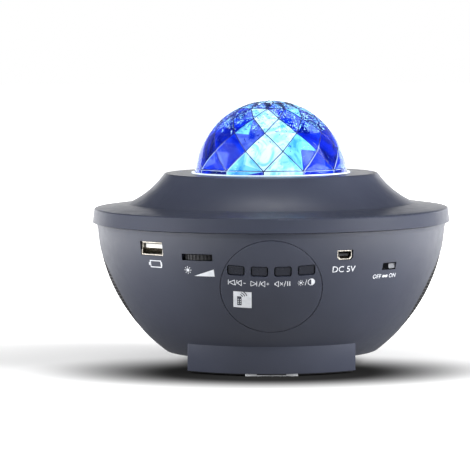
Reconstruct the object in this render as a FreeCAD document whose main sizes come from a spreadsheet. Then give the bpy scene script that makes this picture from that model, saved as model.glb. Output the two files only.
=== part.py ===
"""Star night light projector: a round tabletop housing with a faceted dome, built as separate pieces.

Frame: millimetres, +Z up, origin on the resting plane under the middle of the foot.
The control panel faces -Y, and +X is to the right of someone who looks at the panel.
"""
import FreeCAD, Part
import math
import os
import re

import Sketcher

doc = FreeCAD.newDocument("star_night_light_projector")
sheet = doc.addObject("Spreadsheet::Sheet", "Sizes")

# Driving dimensions. Depths are measured inwards from the bowl's outer surface.
SIZES = [
    ("bowl_radius", 81.9, "largest outer radius of the lower bowl"),
    ("bowl_arc", 78.5, "radius of the bowl's side in section"),
    ("bowl_arc_height", 69.5, "height of that arc's centre"),
    ("bowl_floor", 6.4, "height of the bowl's flat underside"),
    ("bowl_wall", 2.4, "wall of the bowl"),
    ("seam_height", 64.8, "height of the fine step under the rim"),
    ("lip_step", 0.1, "distance of the bowl's upright lip outside its largest radius"),
    ("lip_top", 71.0, "top of that lip, hidden in the rim"),
    ("lip_gap", 0.2, "gap between the lip and the rim"),
    ("shell_wall", 2.2, "wall of the upper shell"),
    ("land_radius", 50.0, "outer radius of the flat land round the dome"),
    ("land_height", 89.8, "height of that land"),
    ("land_edge_run", 0.7, "length that the land's rounded edge takes up"),
    ("flare_slope", 49.0, "slope of the flare where it leaves the land, degrees"),
    ("flare_arc", 44.0, "radius of the flare in section"),
    ("shoulder_run", 15.9, "width of the shoulder, from the flare to the sharp edge"),
    ("shoulder_height", 75.6, "height there"),
    ("crease_inset", 0.7, "distance of the rim's sharp edge inside its lower edge"),
    ("crease_height", 73.5, "height of that edge"),
    ("crease_round", 0.8, "rounding of that edge"),
    ("rim_thick", 1.9, "thickness of the rim at its lower edge"),
    ("rim_foot", 67.0, "height of the rim's lower edge"),
    ("rim_chamfer", 0.5, "fall of the rim's underside"),
    ("dome_radius", 36.0, "outer radius of the dome"),
    ("dome_wall", 2.2, "wall of the dome"),
    ("dome_sink", 1.9, "depth of the dome's centre under the land"),
    ("dome_flange_radius", 40.0, "radius of the dome's hidden flange"),
    ("dome_flange_thick", 1.5, "thickness of that flange"),
    ("light_ring_wide", 1.3, "width of the clear ring round the dome"),
    ("light_ring_proud", 0.5, "height of that ring above the land"),
    ("light_ring_gap", 0.1, "gap on each side of that ring"),
    ("keeper_radius", 45.5, "outer radius of the ring that holds the dome up"),
    ("keeper_bore", 34.3, "inner radius of that ring"),
    ("keeper_thick", 2.0, "thickness of that ring"),
    ("keeper_screw_circle", 42.8, "radius on which its screws stand"),
    ("deck_clear", 12.9, "distance of the deck's edge inside the bowl's largest radius"),
    ("deck_height", 70.0, "height of the deck's underside"),
    ("deck_thick", 2.0, "thickness of the deck"),
    ("deck_post_inset", 5.0, "distance of the deck's posts from its edge"),
    ("deck_post_radius", 3.2, "radius of those posts"),
    ("board_thick", 1.6, "thickness of every circuit board"),
    ("led_board_radius", 13.0, "radius of the lamp board"),
    ("sink_radius", 17.0, "radius of the heat sink"),
    ("sink_base", 3.5, "thickness of its base"),
    ("sink_fin_drop", 9.0, "length of its fins"),
    ("sink_fin_thick", 1.4, "thickness of a fin"),
    ("sink_fin_pitch", 4.2, "distance from fin to fin"),
    ("led_side", 3.5, "side of one lamp chip"),
    ("led_high", 0.9, "height of one lamp chip"),
    ("led_spread", 3.4, "distance of a chip's middle from the lamp board's centre lines"),
    ("collimator_foot", 7.6, "lower radius of the collimator"),
    ("collimator_top", 11.5, "upper radius of the collimator"),
    ("collimator_high", 4.4, "height of the collimator"),
    ("collimator_gap", 0.3, "gap over the lamp chips"),
    ("collimator_leg_radius", 0.9, "radius of the collimator's legs"),
    ("collimator_leg_circle", 6.0, "radius on which those legs stand"),
    ("gear_module", 1.0, "module of the ripple drive"),
    ("gear_teeth", 64, "teeth of the ripple gear"),
    ("pinion_teeth", 12, "teeth of the pinion"),
    ("gear_thick", 3.0, "face width of both gears"),
    ("gear_backlash", 0.3, "play across the flanks of the teeth"),
    ("skirt_radius", 28.92, "outer radius of the gear's running skirt"),
    ("skirt_drop", 4.3, "length of that skirt"),
    ("cradle_bore", 29.0, "inner radius of the ring that the skirt runs in"),
    ("cradle_radius", 30.6, "outer radius of that ring"),
    ("cradle_high", 7.0, "height of that ring over the deck"),
    ("ripple_radius", 26.5, "radius of the rippled disc"),
    ("ripple_thick", 1.8, "thickness of the rippled disc"),
    ("moving_gap", 0.3, "gap between the gear and what stands still"),
    ("motor_azimuth", 180.0, "direction of the motor, degrees from the front"),
    ("motor_radius", 9.5, "radius of the geared motor"),
    ("motor_high", 13.0, "height of the geared motor"),
    ("motor_ear_spread", 13.0, "distance of an ear's hole from the motor's axis"),
    ("motor_ear_radius", 3.0, "radius of an ear"),
    ("motor_ear_thick", 1.2, "thickness of an ear"),
    ("motor_shaft_radius", 1.5, "radius of the motor's shaft"),
    ("motor_shaft_play", 0.06, "radial play of that shaft in the motor"),
    ("motor_shaft_reach", 6.0, "length of the shaft inside the motor"),
    ("laser_azimuth", 90.0, "direction of the laser, degrees from the front"),
    ("laser_offset", 21.5, "distance of the laser from the axis"),
    ("laser_radius", 3.4, "radius of the laser's barrel"),
    ("laser_high", 13.0, "height of the laser's barrel"),
    ("laser_rise", 4.0, "height of the barrel over the deck"),
    ("laser_collar", 1.6, "wall of the laser's holder"),
    ("laser_collar_high", 3.0, "height of the laser's holder"),
    ("grating_thick", 1.2, "thickness of the grating on the laser"),
    ("screw_radius", 1.25, "radius of a screw's shank"),
    ("screw_head_radius", 2.3, "radius of a screw's head"),
    ("screw_head_high", 1.4, "height of a screw's head"),
    ("screw_bite", 3.5, "length of a short screw beyond what it clamps"),
    ("small_screw_radius", 0.9, "radius of a small screw's shank"),
    ("small_screw_head", 1.6, "radius of a small screw's head"),
    ("corner_post_inset", 27.9, "distance of the four housing posts inside the bowl's largest radius"),
    ("corner_post_azimuth", 38.0, "direction of those posts from the front and back"),
    ("corner_post_radius", 3.6, "radius of those posts"),
    ("corner_post_split", 62.0, "height where the bowl's and shell's posts meet"),
    ("corner_screw_seat", 44.0, "height of the housing screws' heads inside their posts"),
    ("corner_screw_bite", 12.0, "length of a housing screw in the upper post"),
    ("corner_well_radius", 2.5, "radius of the well below such a screw"),
    ("post_gap", 0.5, "gap round a post that passes through a board"),
    ("panel_height", 41.0, "height of the control panel's middle"),
    ("panel_radius", 22.75, "radius of the round control panel"),
    ("panel_groove", 0.3, "gap round the panel"),
    ("panel_flange", 2.2, "width of the panel's flange behind the wall"),
    ("panel_flange_thick", 1.5, "thickness of that flange"),
    ("button_row", 8.8, "height of the buttons over the panel's middle"),
    ("button_pitch", 10.5, "distance from button to button"),
    ("button_wide", 7.2, "width of a button"),
    ("button_high", 4.3, "height of a button"),
    ("button_corner", 0.8, "corner radius of a button"),
    ("button_gap", 0.3, "gap round a button"),
    ("button_depth", 0.4, "depth of a button's face in the panel"),
    ("button_rim", 0.9, "width of a button's flange"),
    ("button_rim_thick", 0.8, "thickness of that flange"),
    ("button_travel", 0.6, "stroke of a button"),
    ("button_stem_side", 2.4, "side of a button's stem"),
    ("switch_side", 5.0, "side of a button's switch"),
    ("switch_deep", 2.2, "height of a button's switch"),
    ("button_board_depth", 10.0, "depth of the button board's front"),
    ("button_board_wide", 39.0, "width of the button board"),
    ("button_board_top", 12.3, "upper edge of the button board over the panel's middle"),
    ("button_board_foot", -9.0, "lower edge of the button board"),
    ("panel_post_spread", 14.0, "distance of the panel's posts from its middle"),
    ("panel_post_level", -4.0, "height of those posts"),
    ("panel_post_radius", 1.9, "radius of those posts"),
    ("receiver_wide", 5.6, "width of the remote receiver"),
    ("receiver_high", 6.6, "height of the remote receiver"),
    ("receiver_deep", 3.6, "depth of the remote receiver"),
    ("speaker_height", 33.0, "height of a speaker grille's middle"),
    ("grille_radius", 23.3, "radius of a speaker grille"),
    ("grille_depth", 0.15, "depth of the grille's face"),
    ("grille_thick", 0.9, "thickness of the grille"),
    ("grille_gap", 0.25, "gap round the grille"),
    ("speaker_bore", 20.5, "radius of the hole behind the grille"),
    ("speaker_frame_radius", 24.0, "radius of the speaker's frame"),
    ("speaker_seat", 9.0, "depth of the plane that the speaker sits on"),
    ("speaker_flange", 1.5, "thickness of the speaker's flange"),
    ("basket_deep", 7.0, "depth of the speaker's basket"),
    ("basket_back_radius", 11.5, "radius of the basket's back"),
    ("basket_wall", 1.0, "wall of the basket"),
    ("cone_wall", 0.6, "thickness of the paper cone"),
    ("magnet_radius", 12.5, "radius of the magnet"),
    ("magnet_deep", 6.0, "thickness of the magnet"),
    ("speaker_screw_circle", 22.1, "radius on which the speaker's screws stand"),
    ("usb_azimuth", -42.0, "direction of the large socket, degrees from the front"),
    ("usb_height", 58.6, "height of the large socket's middle"),
    ("usb_wide", 13.3, "width of the large socket"),
    ("usb_high", 5.9, "height of the large socket"),
    ("usb_deep", 14.0, "depth of the large socket"),
    ("socket_sheet", 0.4, "sheet that both sockets are folded from"),
    ("socket_sink", 0.9, "depth of both sockets' mouths"),
    ("socket_gap", 0.25, "gap round both sockets"),
    ("usb_tongue_wide", 11.2, "width of the large socket's tongue"),
    ("usb_tongue_high", 1.8, "thickness of that tongue"),
    ("usb_tongue_rise", 1.1, "height of that tongue over the socket's middle"),
    ("usb_tongue_sink", 1.6, "distance of that tongue behind the mouth"),
    ("dc_azimuth", 24.3, "direction of the small socket"),
    ("dc_height", 56.5, "height of the small socket's middle"),
    ("dc_wide", 7.3, "width of the small socket"),
    ("dc_high", 4.1, "height of the small socket"),
    ("dc_deep", 9.0, "depth of the small socket"),
    ("dc_tongue_wide", 4.6, "width of the small socket's tongue"),
    ("dc_tongue_high", 1.1, "thickness of that tongue"),
    ("dc_chamfer", 1.1, "cut corners of the small socket"),
    ("wheel_azimuth", -24.4, "direction of the thumbwheel"),
    ("wheel_height", 55.6, "height of the thumbwheel's middle"),
    ("wheel_radius", 10.0, "radius of the thumbwheel"),
    ("wheel_thick", 2.3, "thickness of the thumbwheel"),
    ("wheel_proud", 0.5, "height of the thumbwheel over the bowl"),
    ("wheel_slot_wide", 15.2, "width of the thumbwheel's slot"),
    ("wheel_slot_high", 3.0, "height of the thumbwheel's slot"),
    ("wheel_notches", 36, "notches round the thumbwheel"),
    ("wheel_notch", 0.45, "radius of a notch"),
    ("pot_shaft_radius", 2.0, "radius of the thumbwheel's shaft"),
    ("pot_shaft_play", 0.06, "radial play of the thumbwheel on its shaft"),
    ("pot_side", 9.0, "width of the potentiometer"),
    ("pot_high", 3.6, "height of the potentiometer"),
    ("pot_gap", 0.4, "gap between the thumbwheel and the potentiometer"),
    ("pot_leg", 1.5, "thickness of the potentiometer's leg"),
    ("power_azimuth", 42.3, "direction of the slide switch"),
    ("power_height", 50.2, "height of the slide switch's middle"),
    ("power_slot_wide", 8.4, "width of the slide switch's slot"),
    ("power_slot_high", 3.3, "height of that slot"),
    ("power_knob_wide", 3.8, "width of the slide switch's knob"),
    ("power_knob_high", 2.7, "height of that knob"),
    ("power_knob_depth", 0.7, "depth of that knob's face"),
    ("power_travel", 4.0, "stroke of the slide switch"),
    ("power_base_wide", 5.4, "width of the slider inside the switch"),
    ("power_base_high", 2.9, "height of the slider inside the switch"),
    ("power_base_thick", 1.2, "thickness of the slider inside the switch"),
    ("power_body_depth", 3.9, "depth of the slide switch's body"),
    ("power_body_face", 0.6, "thickness of that body's front"),
    ("power_body_wide", 12.4, "width of that body"),
    ("power_body_high", 4.2, "height of that body"),
    ("power_body_deep", 5.0, "length of that body"),
    ("slide_gap", 0.2, "gap round a sliding piece"),
    ("port_board_height", 52.4, "height of the port boards' undersides"),
    ("port_board_wide", 18.5, "width of the port boards"),
    ("port_board_inset", 6.9, "distance of the port boards inside the bowl's largest radius"),
    ("port_board_from", 18.5, "first direction of a port board, degrees"),
    ("port_board_span", 35.0, "angle that a port board covers"),
    ("port_post_azimuth", 33.5, "direction of a port board's post"),
    ("port_post_inset", 18.9, "distance of that post inside the bowl's largest radius"),
    ("port_post_radius", 3.0, "radius of that post"),
    ("main_board_narrower", 1.9, "what the main board's width lacks of the bowl's largest radius"),
    ("main_board_deep", 54.0, "depth of the main board"),
    ("main_board_height", 15.0, "height of the main board's underside"),
    ("main_post_inset", 5.0, "distance of the main board's screws from its edges"),
    ("main_post_radius", 2.8, "radius of the main board's posts"),
    ("foot_inset", 23.4, "distance of the foot's round front inside the bowl's largest radius"),
    ("foot_side_wall", 5.25, "distance of the housing posts from the foot's flat sides"),
    ("foot_top", 14.2, "height up to which the foot reaches round the bowl"),
    ("foot_bottom", 1.15, "height of the foot's underside"),
    ("foot_recess", 2.6, "depth of the hollow in the foot's underside"),
    ("foot_rim", 5.0, "width of the rim round that hollow"),
    ("mat_inset", 1.2, "distance of the dark mat from the foot's edge"),
    ("mat_clear", 0.5, "height of the dark mat over the resting plane"),
    ("pad_long", 24.0, "length of a pad"),
    ("pad_wide", 7.0, "width of a pad"),
    ("pad_inset", 1.6, "distance of a pad from the foot's edge"),
    ("foot_screw_spread", 20.0, "distance of the foot's screws from its centre lines"),
    ("foot_screw_boss", 3.2, "radius of the bosses for them"),
    ("foot_screw_rise", 4.5, "height of those bosses over the bowl's inner floor"),
]
for row, (name, value, note) in enumerate(SIZES, start=1):
    sheet.set("A%d" % row, name)
    sheet.set("B%d" % row, str(value))
    sheet.set("C%d" % row, note)
    sheet.setAlias("B%d" % row, name)
doc.recompute()

# Sizes that follow from the driving ones. Each may name others of both kinds.
WORKED = {
    "dome_centre": "land_height-dome_sink",
    "land_under": "land_height-shell_wall",
    "light_ring_bore": "dome_radius+light_ring_gap",
    "light_ring_radius": "light_ring_bore+light_ring_wide",
    "land_hole": "light_ring_radius+light_ring_gap",
    "dome_flange_low": "land_under-dome_flange_thick",
    "keeper_low": "dome_flange_low-keeper_thick",
    "lip_radius": "bowl_radius+lip_step",
    "rim_inner": "lip_radius+lip_gap",
    "rim_radius": "rim_inner+rim_thick",
    "crease_radius": "rim_radius-crease_inset",
    "shoulder_radius": "crease_radius-shoulder_run",
    "deck_radius": "bowl_radius-deck_clear",
    "deck_post_circle": "deck_radius-deck_post_inset",
    "corner_post_circle": "bowl_radius-corner_post_inset",
    "port_board_radius": "bowl_radius-port_board_inset",
    "port_board_bore": "port_board_radius-port_board_wide",
    "port_post_circle": "bowl_radius-port_post_inset",
    "main_board_wide": "bowl_radius-main_board_narrower",
    "foot_radius": "bowl_radius-foot_inset",
    "foot_half_width": "corner_post_circle*sin(corner_post_azimuth)+foot_side_wall",
    "inner_floor": "bowl_floor+bowl_wall",
    "deck_top": "deck_height+deck_thick",
    "led_top": "deck_height+board_thick+led_high",
    "cradle_top": "deck_top+cradle_high",
    "gear_low": "cradle_top+moving_gap",
    "gear_top": "gear_low+gear_thick",
    "gear_pitch": "gear_teeth*gear_module/2",
    "pinion_pitch": "pinion_teeth*gear_module/2",
    "motor_circle": "gear_pitch+pinion_pitch",
    "motor_x": "motor_circle*sin(motor_azimuth)",
    "motor_y": "-motor_circle*cos(motor_azimuth)",
    "laser_x": "laser_offset*sin(laser_azimuth)",
    "laser_y": "-laser_offset*cos(laser_azimuth)",
    "panel_back": "bowl_wall+panel_flange_thick",
    "button_rim_depth": "panel_back+button_gap",
    "stem_end": "button_board_depth-switch_deep-button_travel-slide_gap",
    "port_board_top": "port_board_height+board_thick",
    "wheel_depth": "wheel_radius-wheel_proud",
    "pot_low": "wheel_thick/2+pot_gap",
    "foot_floor": "foot_bottom+foot_recess",
    "main_board_top": "main_board_height+board_thick",
}
DRIVING = {name for name, value, note in SIZES}


def tie(text):
    """Turns a formula in the names above into one that reads the sheet."""
    def word(match):
        found = match.group(0)
        if found in WORKED:
            return "(" + tie(WORKED[found]) + ")"
        return "Sizes." + found if found in DRIVING else found
    return re.sub(r"[a-z_]+", word, str(text))


def number(text):
    """The present value of a formula."""
    return float(sheet.evalExpression(tie(text)))


def bowl_r(height, depth="0"):
    """Formula for the bowl's radius at a height, at a depth under its outer surface."""
    return "(bowl_radius-bowl_arc+sqrt((bowl_arc-(%s))^2-((%s)-bowl_arc_height)^2))" % (depth, height)


def bowl_tilt(height):
    """Formula for how far the bowl's surface faces downwards at a height, in degrees."""
    return "asin((bowl_arc_height-(%s))/bowl_arc)" % height


def bind(thing, **formulas):
    for key, text in formulas.items():
        thing.setExpression(key, tie(text))
    return thing


def place(thing, at=(0, 0, 0), yaw="0", roll="0"):
    """Puts a thing at a point, rolled about X and then turned about Z."""
    spots = "; ".join(tie(text) for text in at)
    thing.setExpression("Placement", "placement(vector(%s); rotation(%s; 0; %s))" % (spots, tie(yaw),
                                                                                     tie(roll)))
    return thing


def face(thing, azimuth, height, tilt="0"):
    """Puts a thing made in a face's own frame on the bowl: its -Y looks outwards there."""
    radius = bowl_r(height)
    spot = ("%s*sin(%s)" % (radius, azimuth), "-%s*cos(%s)" % (radius, azimuth), height)
    return place(thing, spot, azimuth, tilt)


def box(name, size, at):
    """A box with its low corner at a point."""
    made = bind(doc.addObject("Part::Box", name), Length=size[0], Width=size[1], Height=size[2])
    return place(made, at)


def block(name, size, middle):
    """A box with its middle at a point."""
    low = ["(%s)-(%s)/2" % (middle[axis], size[axis]) for axis in range(3)]
    return box(name, size, low)


def rod(name, radius, length, at, way="z"):
    """A cylinder that runs from a point along +Z or +Y."""
    made = bind(doc.addObject("Part::Cylinder", name), Radius=radius, Height=length)
    return place(made, at, roll="-90" if way == "y" else "0")


def taper(name, start, end, length, at, way="z"):
    made = bind(doc.addObject("Part::Cone", name), Radius1=start, Radius2=end, Height=length)
    return place(made, at, roll="-90" if way == "y" else "0")


def cut(name, base, *tools):
    made = doc.addObject("Part::Cut", name)
    made.Base = base
    made.Tool = tools[0] if len(tools) == 1 else fuse(name + "_tools", *tools)
    return made


def fuse(name, *pieces):
    made = doc.addObject("Part::MultiFuse", name)
    made.Shapes = list(pieces)
    return made


def common(name, *pieces):
    made = doc.addObject("Part::MultiCommon", name)
    made.Shapes = list(pieces)
    return made


def group(name, *pieces):
    """Separate solids that share one node."""
    made = doc.addObject("Part::Compound", name)
    made.Links = list(pieces)
    return made


def tube(name, outer, inner, length, at, way="z"):
    return cut(name, rod(name + "_outer", outer, length, at, way),
               rod(name + "_inner", inner, length, at, way))


def plane(body, role):
    return [item for item in body.Origin.OriginFeatures if item.Role == role][0]


def arc_middle(start, end, radius, side):
    """Centre of an arc: side 1 puts it on the left of the way from start to end."""
    mid_x = (start[0] + end[0]) / 2
    mid_y = (start[1] + end[1]) / 2
    run_x = end[0] - start[0]
    run_y = end[1] - start[1]
    chord = math.hypot(run_x, run_y)
    rise = side * math.sqrt(radius ** 2 - chord ** 2 / 4) / chord
    return mid_x - run_y * rise, mid_y + run_x * rise


def outline(body, name, points, arcs, role):
    """A closed sketch of lines, and of arcs where arcs gives {edge: (radius, side)}."""
    sketch = body.newObject("Sketcher::SketchObject", name)
    sketch.AttachmentSupport = [(plane(body, role), "")]
    sketch.MapMode = "FlatFace"
    spots = [(number(x), number(y)) for x, y in points]
    ends = []
    for index, start in enumerate(spots):
        end = spots[(index + 1) % len(spots)]
        if index not in arcs:
            first = FreeCAD.Vector(start[0], start[1], 0)
            last = FreeCAD.Vector(end[0], end[1], 0)
            sketch.addGeometry(Part.LineSegment(first, last), False)
            ends.append((1, 2))
            continue
        radius, side = arcs[index]
        middle = arc_middle(start, end, number(radius), side)
        from_angle = math.atan2(start[1] - middle[1], start[0] - middle[0])
        to_angle = math.atan2(end[1] - middle[1], end[0] - middle[0])
        if side < 0:
            from_angle, to_angle = to_angle, from_angle
        circle = Part.Circle(FreeCAD.Vector(middle[0], middle[1], 0), FreeCAD.Vector(0, 0, 1),
                             number(radius))
        sketch.addGeometry(Part.ArcOfCircle(circle, from_angle, to_angle), False)
        ends.append((1, 2) if side > 0 else (2, 1))
    for index, (x, y) in enumerate(points):
        start_point = ends[index][0]
        before = (index - 1) % len(points)
        sketch.addConstraint(Sketcher.Constraint("Coincident", before, ends[before][1], index,
                                                 start_point))
        for kind, text, value in (("DistanceX", x, spots[index][0]), ("DistanceY", y, spots[index][1])):
            row = sketch.addConstraint(Sketcher.Constraint(kind, index, start_point, value))
            sketch.setExpression("Constraints[%d]" % row, tie(text))
        if index in arcs:
            row = sketch.addConstraint(Sketcher.Constraint("Radius", index, number(arcs[index][0])))
            sketch.setExpression("Constraints[%d]" % row, tie(arcs[index][0]))
    return sketch


def turned(name, points, arcs=None):
    """A body turned about Z from its half section, given as radius and height."""
    body = doc.addObject("PartDesign::Body", name)
    sketch = outline(body, name + "_section", points, arcs or {}, "XZ_Plane")
    turn = body.newObject("PartDesign::Revolution", name + "_turn")
    turn.Profile = (sketch, [""])
    turn.ReferenceAxis = (sketch, ["V_Axis"])
    turn.Angle = 360
    return body


def padded(name, points, thickness, arcs=None, role="XY_Plane"):
    """A body of one thickness over a sketched outline."""
    body = doc.addObject("PartDesign::Body", name)
    sketch = outline(body, name + "_outline", points, arcs or {}, role)
    pad = body.newObject("PartDesign::Pad", name + "_pad")
    pad.Profile = (sketch, [""])
    bind(pad, Length=thickness)
    return body


def rounded(name, wide, high, deep, corner, at):
    """A plate along +Y with rounded corners, its front face's middle at a point."""
    half_wide = "((%s)/2)" % wide
    half_high = "((%s)/2)" % high
    low = "-" + half_high
    left = "-" + half_wide
    points = [
        (left + "+" + corner, low), (half_wide + "-" + corner, low),
        (half_wide, low + "+" + corner), (half_wide, half_high + "-" + corner),
        (half_wide + "-" + corner, half_high), (left + "+" + corner, half_high),
        (left, half_high + "-" + corner), (left, low + "+" + corner),
    ]
    body = padded(name, points, deep, {1: (corner, 1), 3: (corner, 1), 5: (corner, 1), 7: (corner, 1)},
                  "XZ_Plane")
    doc.getObject(name + "_pad").Reversed = True
    return place(body, at)


def screw(name, at, reach, way="z", size=("screw_radius", "screw_head_radius"), down=False):
    """A pan-head screw: its head's underside at a point, its shank running along +Z, +Y or -Z."""
    shank_radius, head_radius = size
    head_high = "screw_head_high"
    head_at = list(at)
    shank_at = list(at)
    axis = 1 if way == "y" else 2
    if down:
        shank_at[axis] = "(%s)-(%s)" % (at[axis], reach)
    else:
        head_at[axis] = "(%s)-%s" % (at[axis], head_high)
    head = rod(name + "_head", head_radius, head_high, head_at, way)
    return fuse(name, head, rod(name + "_shank", shank_radius, reach, shank_at, way))


def circle_spots(radius, first, count):
    """Points on a circle about Z, the first at an azimuth from the front."""
    step = 360.0 / count
    angles = ["(%s+%g)" % (first, step * index) for index in range(count)]
    return [("%s*sin(%s)" % (radius, angle), "-%s*cos(%s)" % (radius, angle)) for angle in angles]


SMALL = ("small_screw_radius", "small_screw_head")
nodes = []


def node(thing, name):
    """Marks a finished piece: its label is its node's name."""
    thing.Label = name
    nodes.append(thing)
    return thing


def skin(name, near, far):
    """The layer of the bowl's side between two depths."""
    low = "inner_floor"
    points = [(bowl_r(low, near), low), (bowl_r("seam_height", near), "seam_height"),
              (bowl_r("seam_height", far), "seam_height"), (bowl_r(low, far), low)]
    return turned(name, points, {0: ("bowl_arc-(%s)" % near, 1), 2: ("bowl_arc-(%s)" % far, -1)})


def filled_bowl():
    """The bowl's whole outer volume, to trim posts and the foot."""
    points = [("0", "bowl_floor"), (bowl_r("bowl_floor"), "bowl_floor"),
              (bowl_r("seam_height"), "seam_height"), ("0", "seam_height")]
    return turned("bowl_volume", points, {1: ("bowl_arc", 1)})


def bowl_shell():
    wall = "bowl_wall"
    points = [
        ("0", "bowl_floor"), (bowl_r("bowl_floor"), "bowl_floor"), (bowl_r("seam_height"), "seam_height"),
        ("lip_radius", "seam_height"), ("lip_radius", "lip_top"), ("lip_radius-bowl_wall", "lip_top"),
        ("lip_radius-bowl_wall", "seam_height"), (bowl_r("seam_height", wall), "seam_height"),
        (bowl_r("inner_floor", wall), "inner_floor"), ("0", "inner_floor"),
    ]
    return turned("bowl_shell", points, {1: ("bowl_arc", 1), 7: ("bowl_arc-bowl_wall", -1)})


def corner_spots():
    across = "corner_post_circle*sin(corner_post_azimuth)"
    along = "corner_post_circle*cos(corner_post_azimuth)"
    return [(sx + across, sy + along) for sx in ("", "-") for sy in ("", "-")]


def main_spots():
    across = "(main_board_wide/2-main_post_inset)"
    along = "(main_board_deep/2-main_post_inset)"
    return [(sx + across, sy + along) for sx in ("", "-") for sy in ("", "-")]


def foot_spots():
    return [(sx + "foot_screw_spread", sy + "foot_screw_spread") for sx in ("", "-") for sy in ("", "-")]


def port_spot(side):
    return ("%sport_post_circle*sin(port_post_azimuth)" % side,
            "-port_post_circle*cos(port_post_azimuth)")


def seated(name, azimuth, height, tilt, *pieces):
    """Pieces made in a face's own frame, put on the bowl as one group."""
    return face(group(name, *pieces), azimuth, height, tilt)


def lower_bowl():
    """The bowl: a round shell with posts inside, and holes for all that shows through it."""
    volume = filled_bowl()
    adds = []
    holes = []
    for index, (x, y) in enumerate(corner_spots()):
        name = "corner_post_%d" % index
        high = "(corner_post_split-bowl_floor)"
        post = rod(name + "_full", "corner_post_radius", high, (x, y, "bowl_floor"))
        adds.append(common(name, post, volume))
        holes.append(rod(name + "_well", "corner_well_radius", "corner_screw_seat", (x, y, "0")))
        holes.append(rod(name + "_bore", "screw_radius", "corner_post_split", (x, y, "0")))
    for index, (x, y) in enumerate(main_spots()):
        high = "(main_board_height-inner_floor)"
        adds.append(rod("main_post_%d" % index, "main_post_radius", high, (x, y, "inner_floor")))
        low = "(main_board_height-screw_bite)"
        holes.append(rod("main_bore_%d" % index, "screw_radius", "screw_bite", (x, y, low)))
    for index, (x, y) in enumerate(foot_spots()):
        adds.append(rod("foot_boss_%d" % index, "foot_screw_boss", "foot_screw_rise",
                        (x, y, "inner_floor")))
        reach = "(bowl_wall+screw_bite)"
        holes.append(rod("foot_bore_%d" % index, "screw_radius", reach, (x, y, "bowl_floor")))
    for side, sign in (("left", "-"), ("right", "")):
        x, y = port_spot(sign)
        name = side + "_port_post"
        post = rod(name + "_full", "port_post_radius", "port_board_height-bowl_floor",
                   (x, y, "bowl_floor"))
        adds.append(common(name, post, volume))
        low = "(port_board_height-screw_bite)"
        holes.append(rod(name + "_bore", "screw_radius", "screw_bite", (x, y, low)))
    for side, azimuth in SPEAKERS:
        ring = rod(side + "_ring", "speaker_frame_radius", "speaker_seat", ("0", "0", "0"), "y")
        ring = seated(side + "_ring_set", azimuth, "speaker_height", SPEAKER_TILT, ring)
        adds.append(common(side + "_speaker_ring", ring, volume))
        deep = "(grille_depth+grille_thick)"
        plug = rod(side + "_plug", "grille_radius+grille_gap", "speaker_seat", ("0", "-bowl_wall", "0"),
                   "y")
        plug = seated(side + "_plug_set", azimuth, "speaker_height", SPEAKER_TILT, plug)
        holes.append(common(side + "_recess", plug, skin(side + "_recess_skin", "-grille_gap", deep)))
        bore = rod(side + "_bore", "speaker_bore", "speaker_seat*2", ("0", "-bowl_wall", "0"), "y")
        for spot, (x, z) in enumerate(speaker_screw_spots()):
            low = "(speaker_seat-screw_bite)"
            thread = rod("%s_thread_%d" % (side, spot), "small_screw_radius", "screw_bite", (x, low, z),
                         "y")
            holes.append(seated("%s_thread_set_%d" % (side, spot), azimuth, "speaker_height",
                                SPEAKER_TILT, thread))
        holes.append(seated(side + "_bore_set", azimuth, "speaker_height", SPEAKER_TILT, bore))
    window = rod("panel_window", "panel_radius+panel_groove", "speaker_seat*2", ("0", "-bowl_wall", "0"),
                 "y")
    holes.append(seated("panel_window_set", "0", "panel_height", PANEL_TILT, window))
    through = "bowl_wall*3"
    usb = block("usb_hole", ("usb_wide+socket_gap*2", through, "usb_high+socket_gap*2"), ("0", "0", "0"))
    holes.append(seated("usb_hole_set", "usb_azimuth", "usb_height", "0", usb))
    dc = socket_prism("dc_hole", "dc_wide+socket_gap*2", "dc_high+socket_gap*2", through,
                      "-bowl_wall*1.5")
    holes.append(seated("dc_hole_set", "dc_azimuth", "dc_height", "0", dc))
    slot = block("wheel_slot", ("wheel_slot_wide", "wheel_radius", "wheel_slot_high"), ("0", "0", "0"))
    holes.append(seated("wheel_slot_set", "wheel_azimuth", "wheel_height", "0", slot))
    slide = block("power_slot", ("power_slot_wide", through, "power_slot_high"), ("0", "0", "0"))
    holes.append(seated("power_slot_set", "power_azimuth", "power_height", "0", slide))
    solid = fuse("bowl_with_posts", bowl_shell(), *adds)
    return node(cut("lower_bowl", solid, *holes), "lower_bowl")


def speaker_screw_spots():
    """Places of a speaker's screws in its own frame, across and up."""
    diagonal = "speaker_screw_circle*sin(45)"
    return [(sx + diagonal, sz + diagonal) for sx in ("", "-") for sz in ("", "-")]


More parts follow.
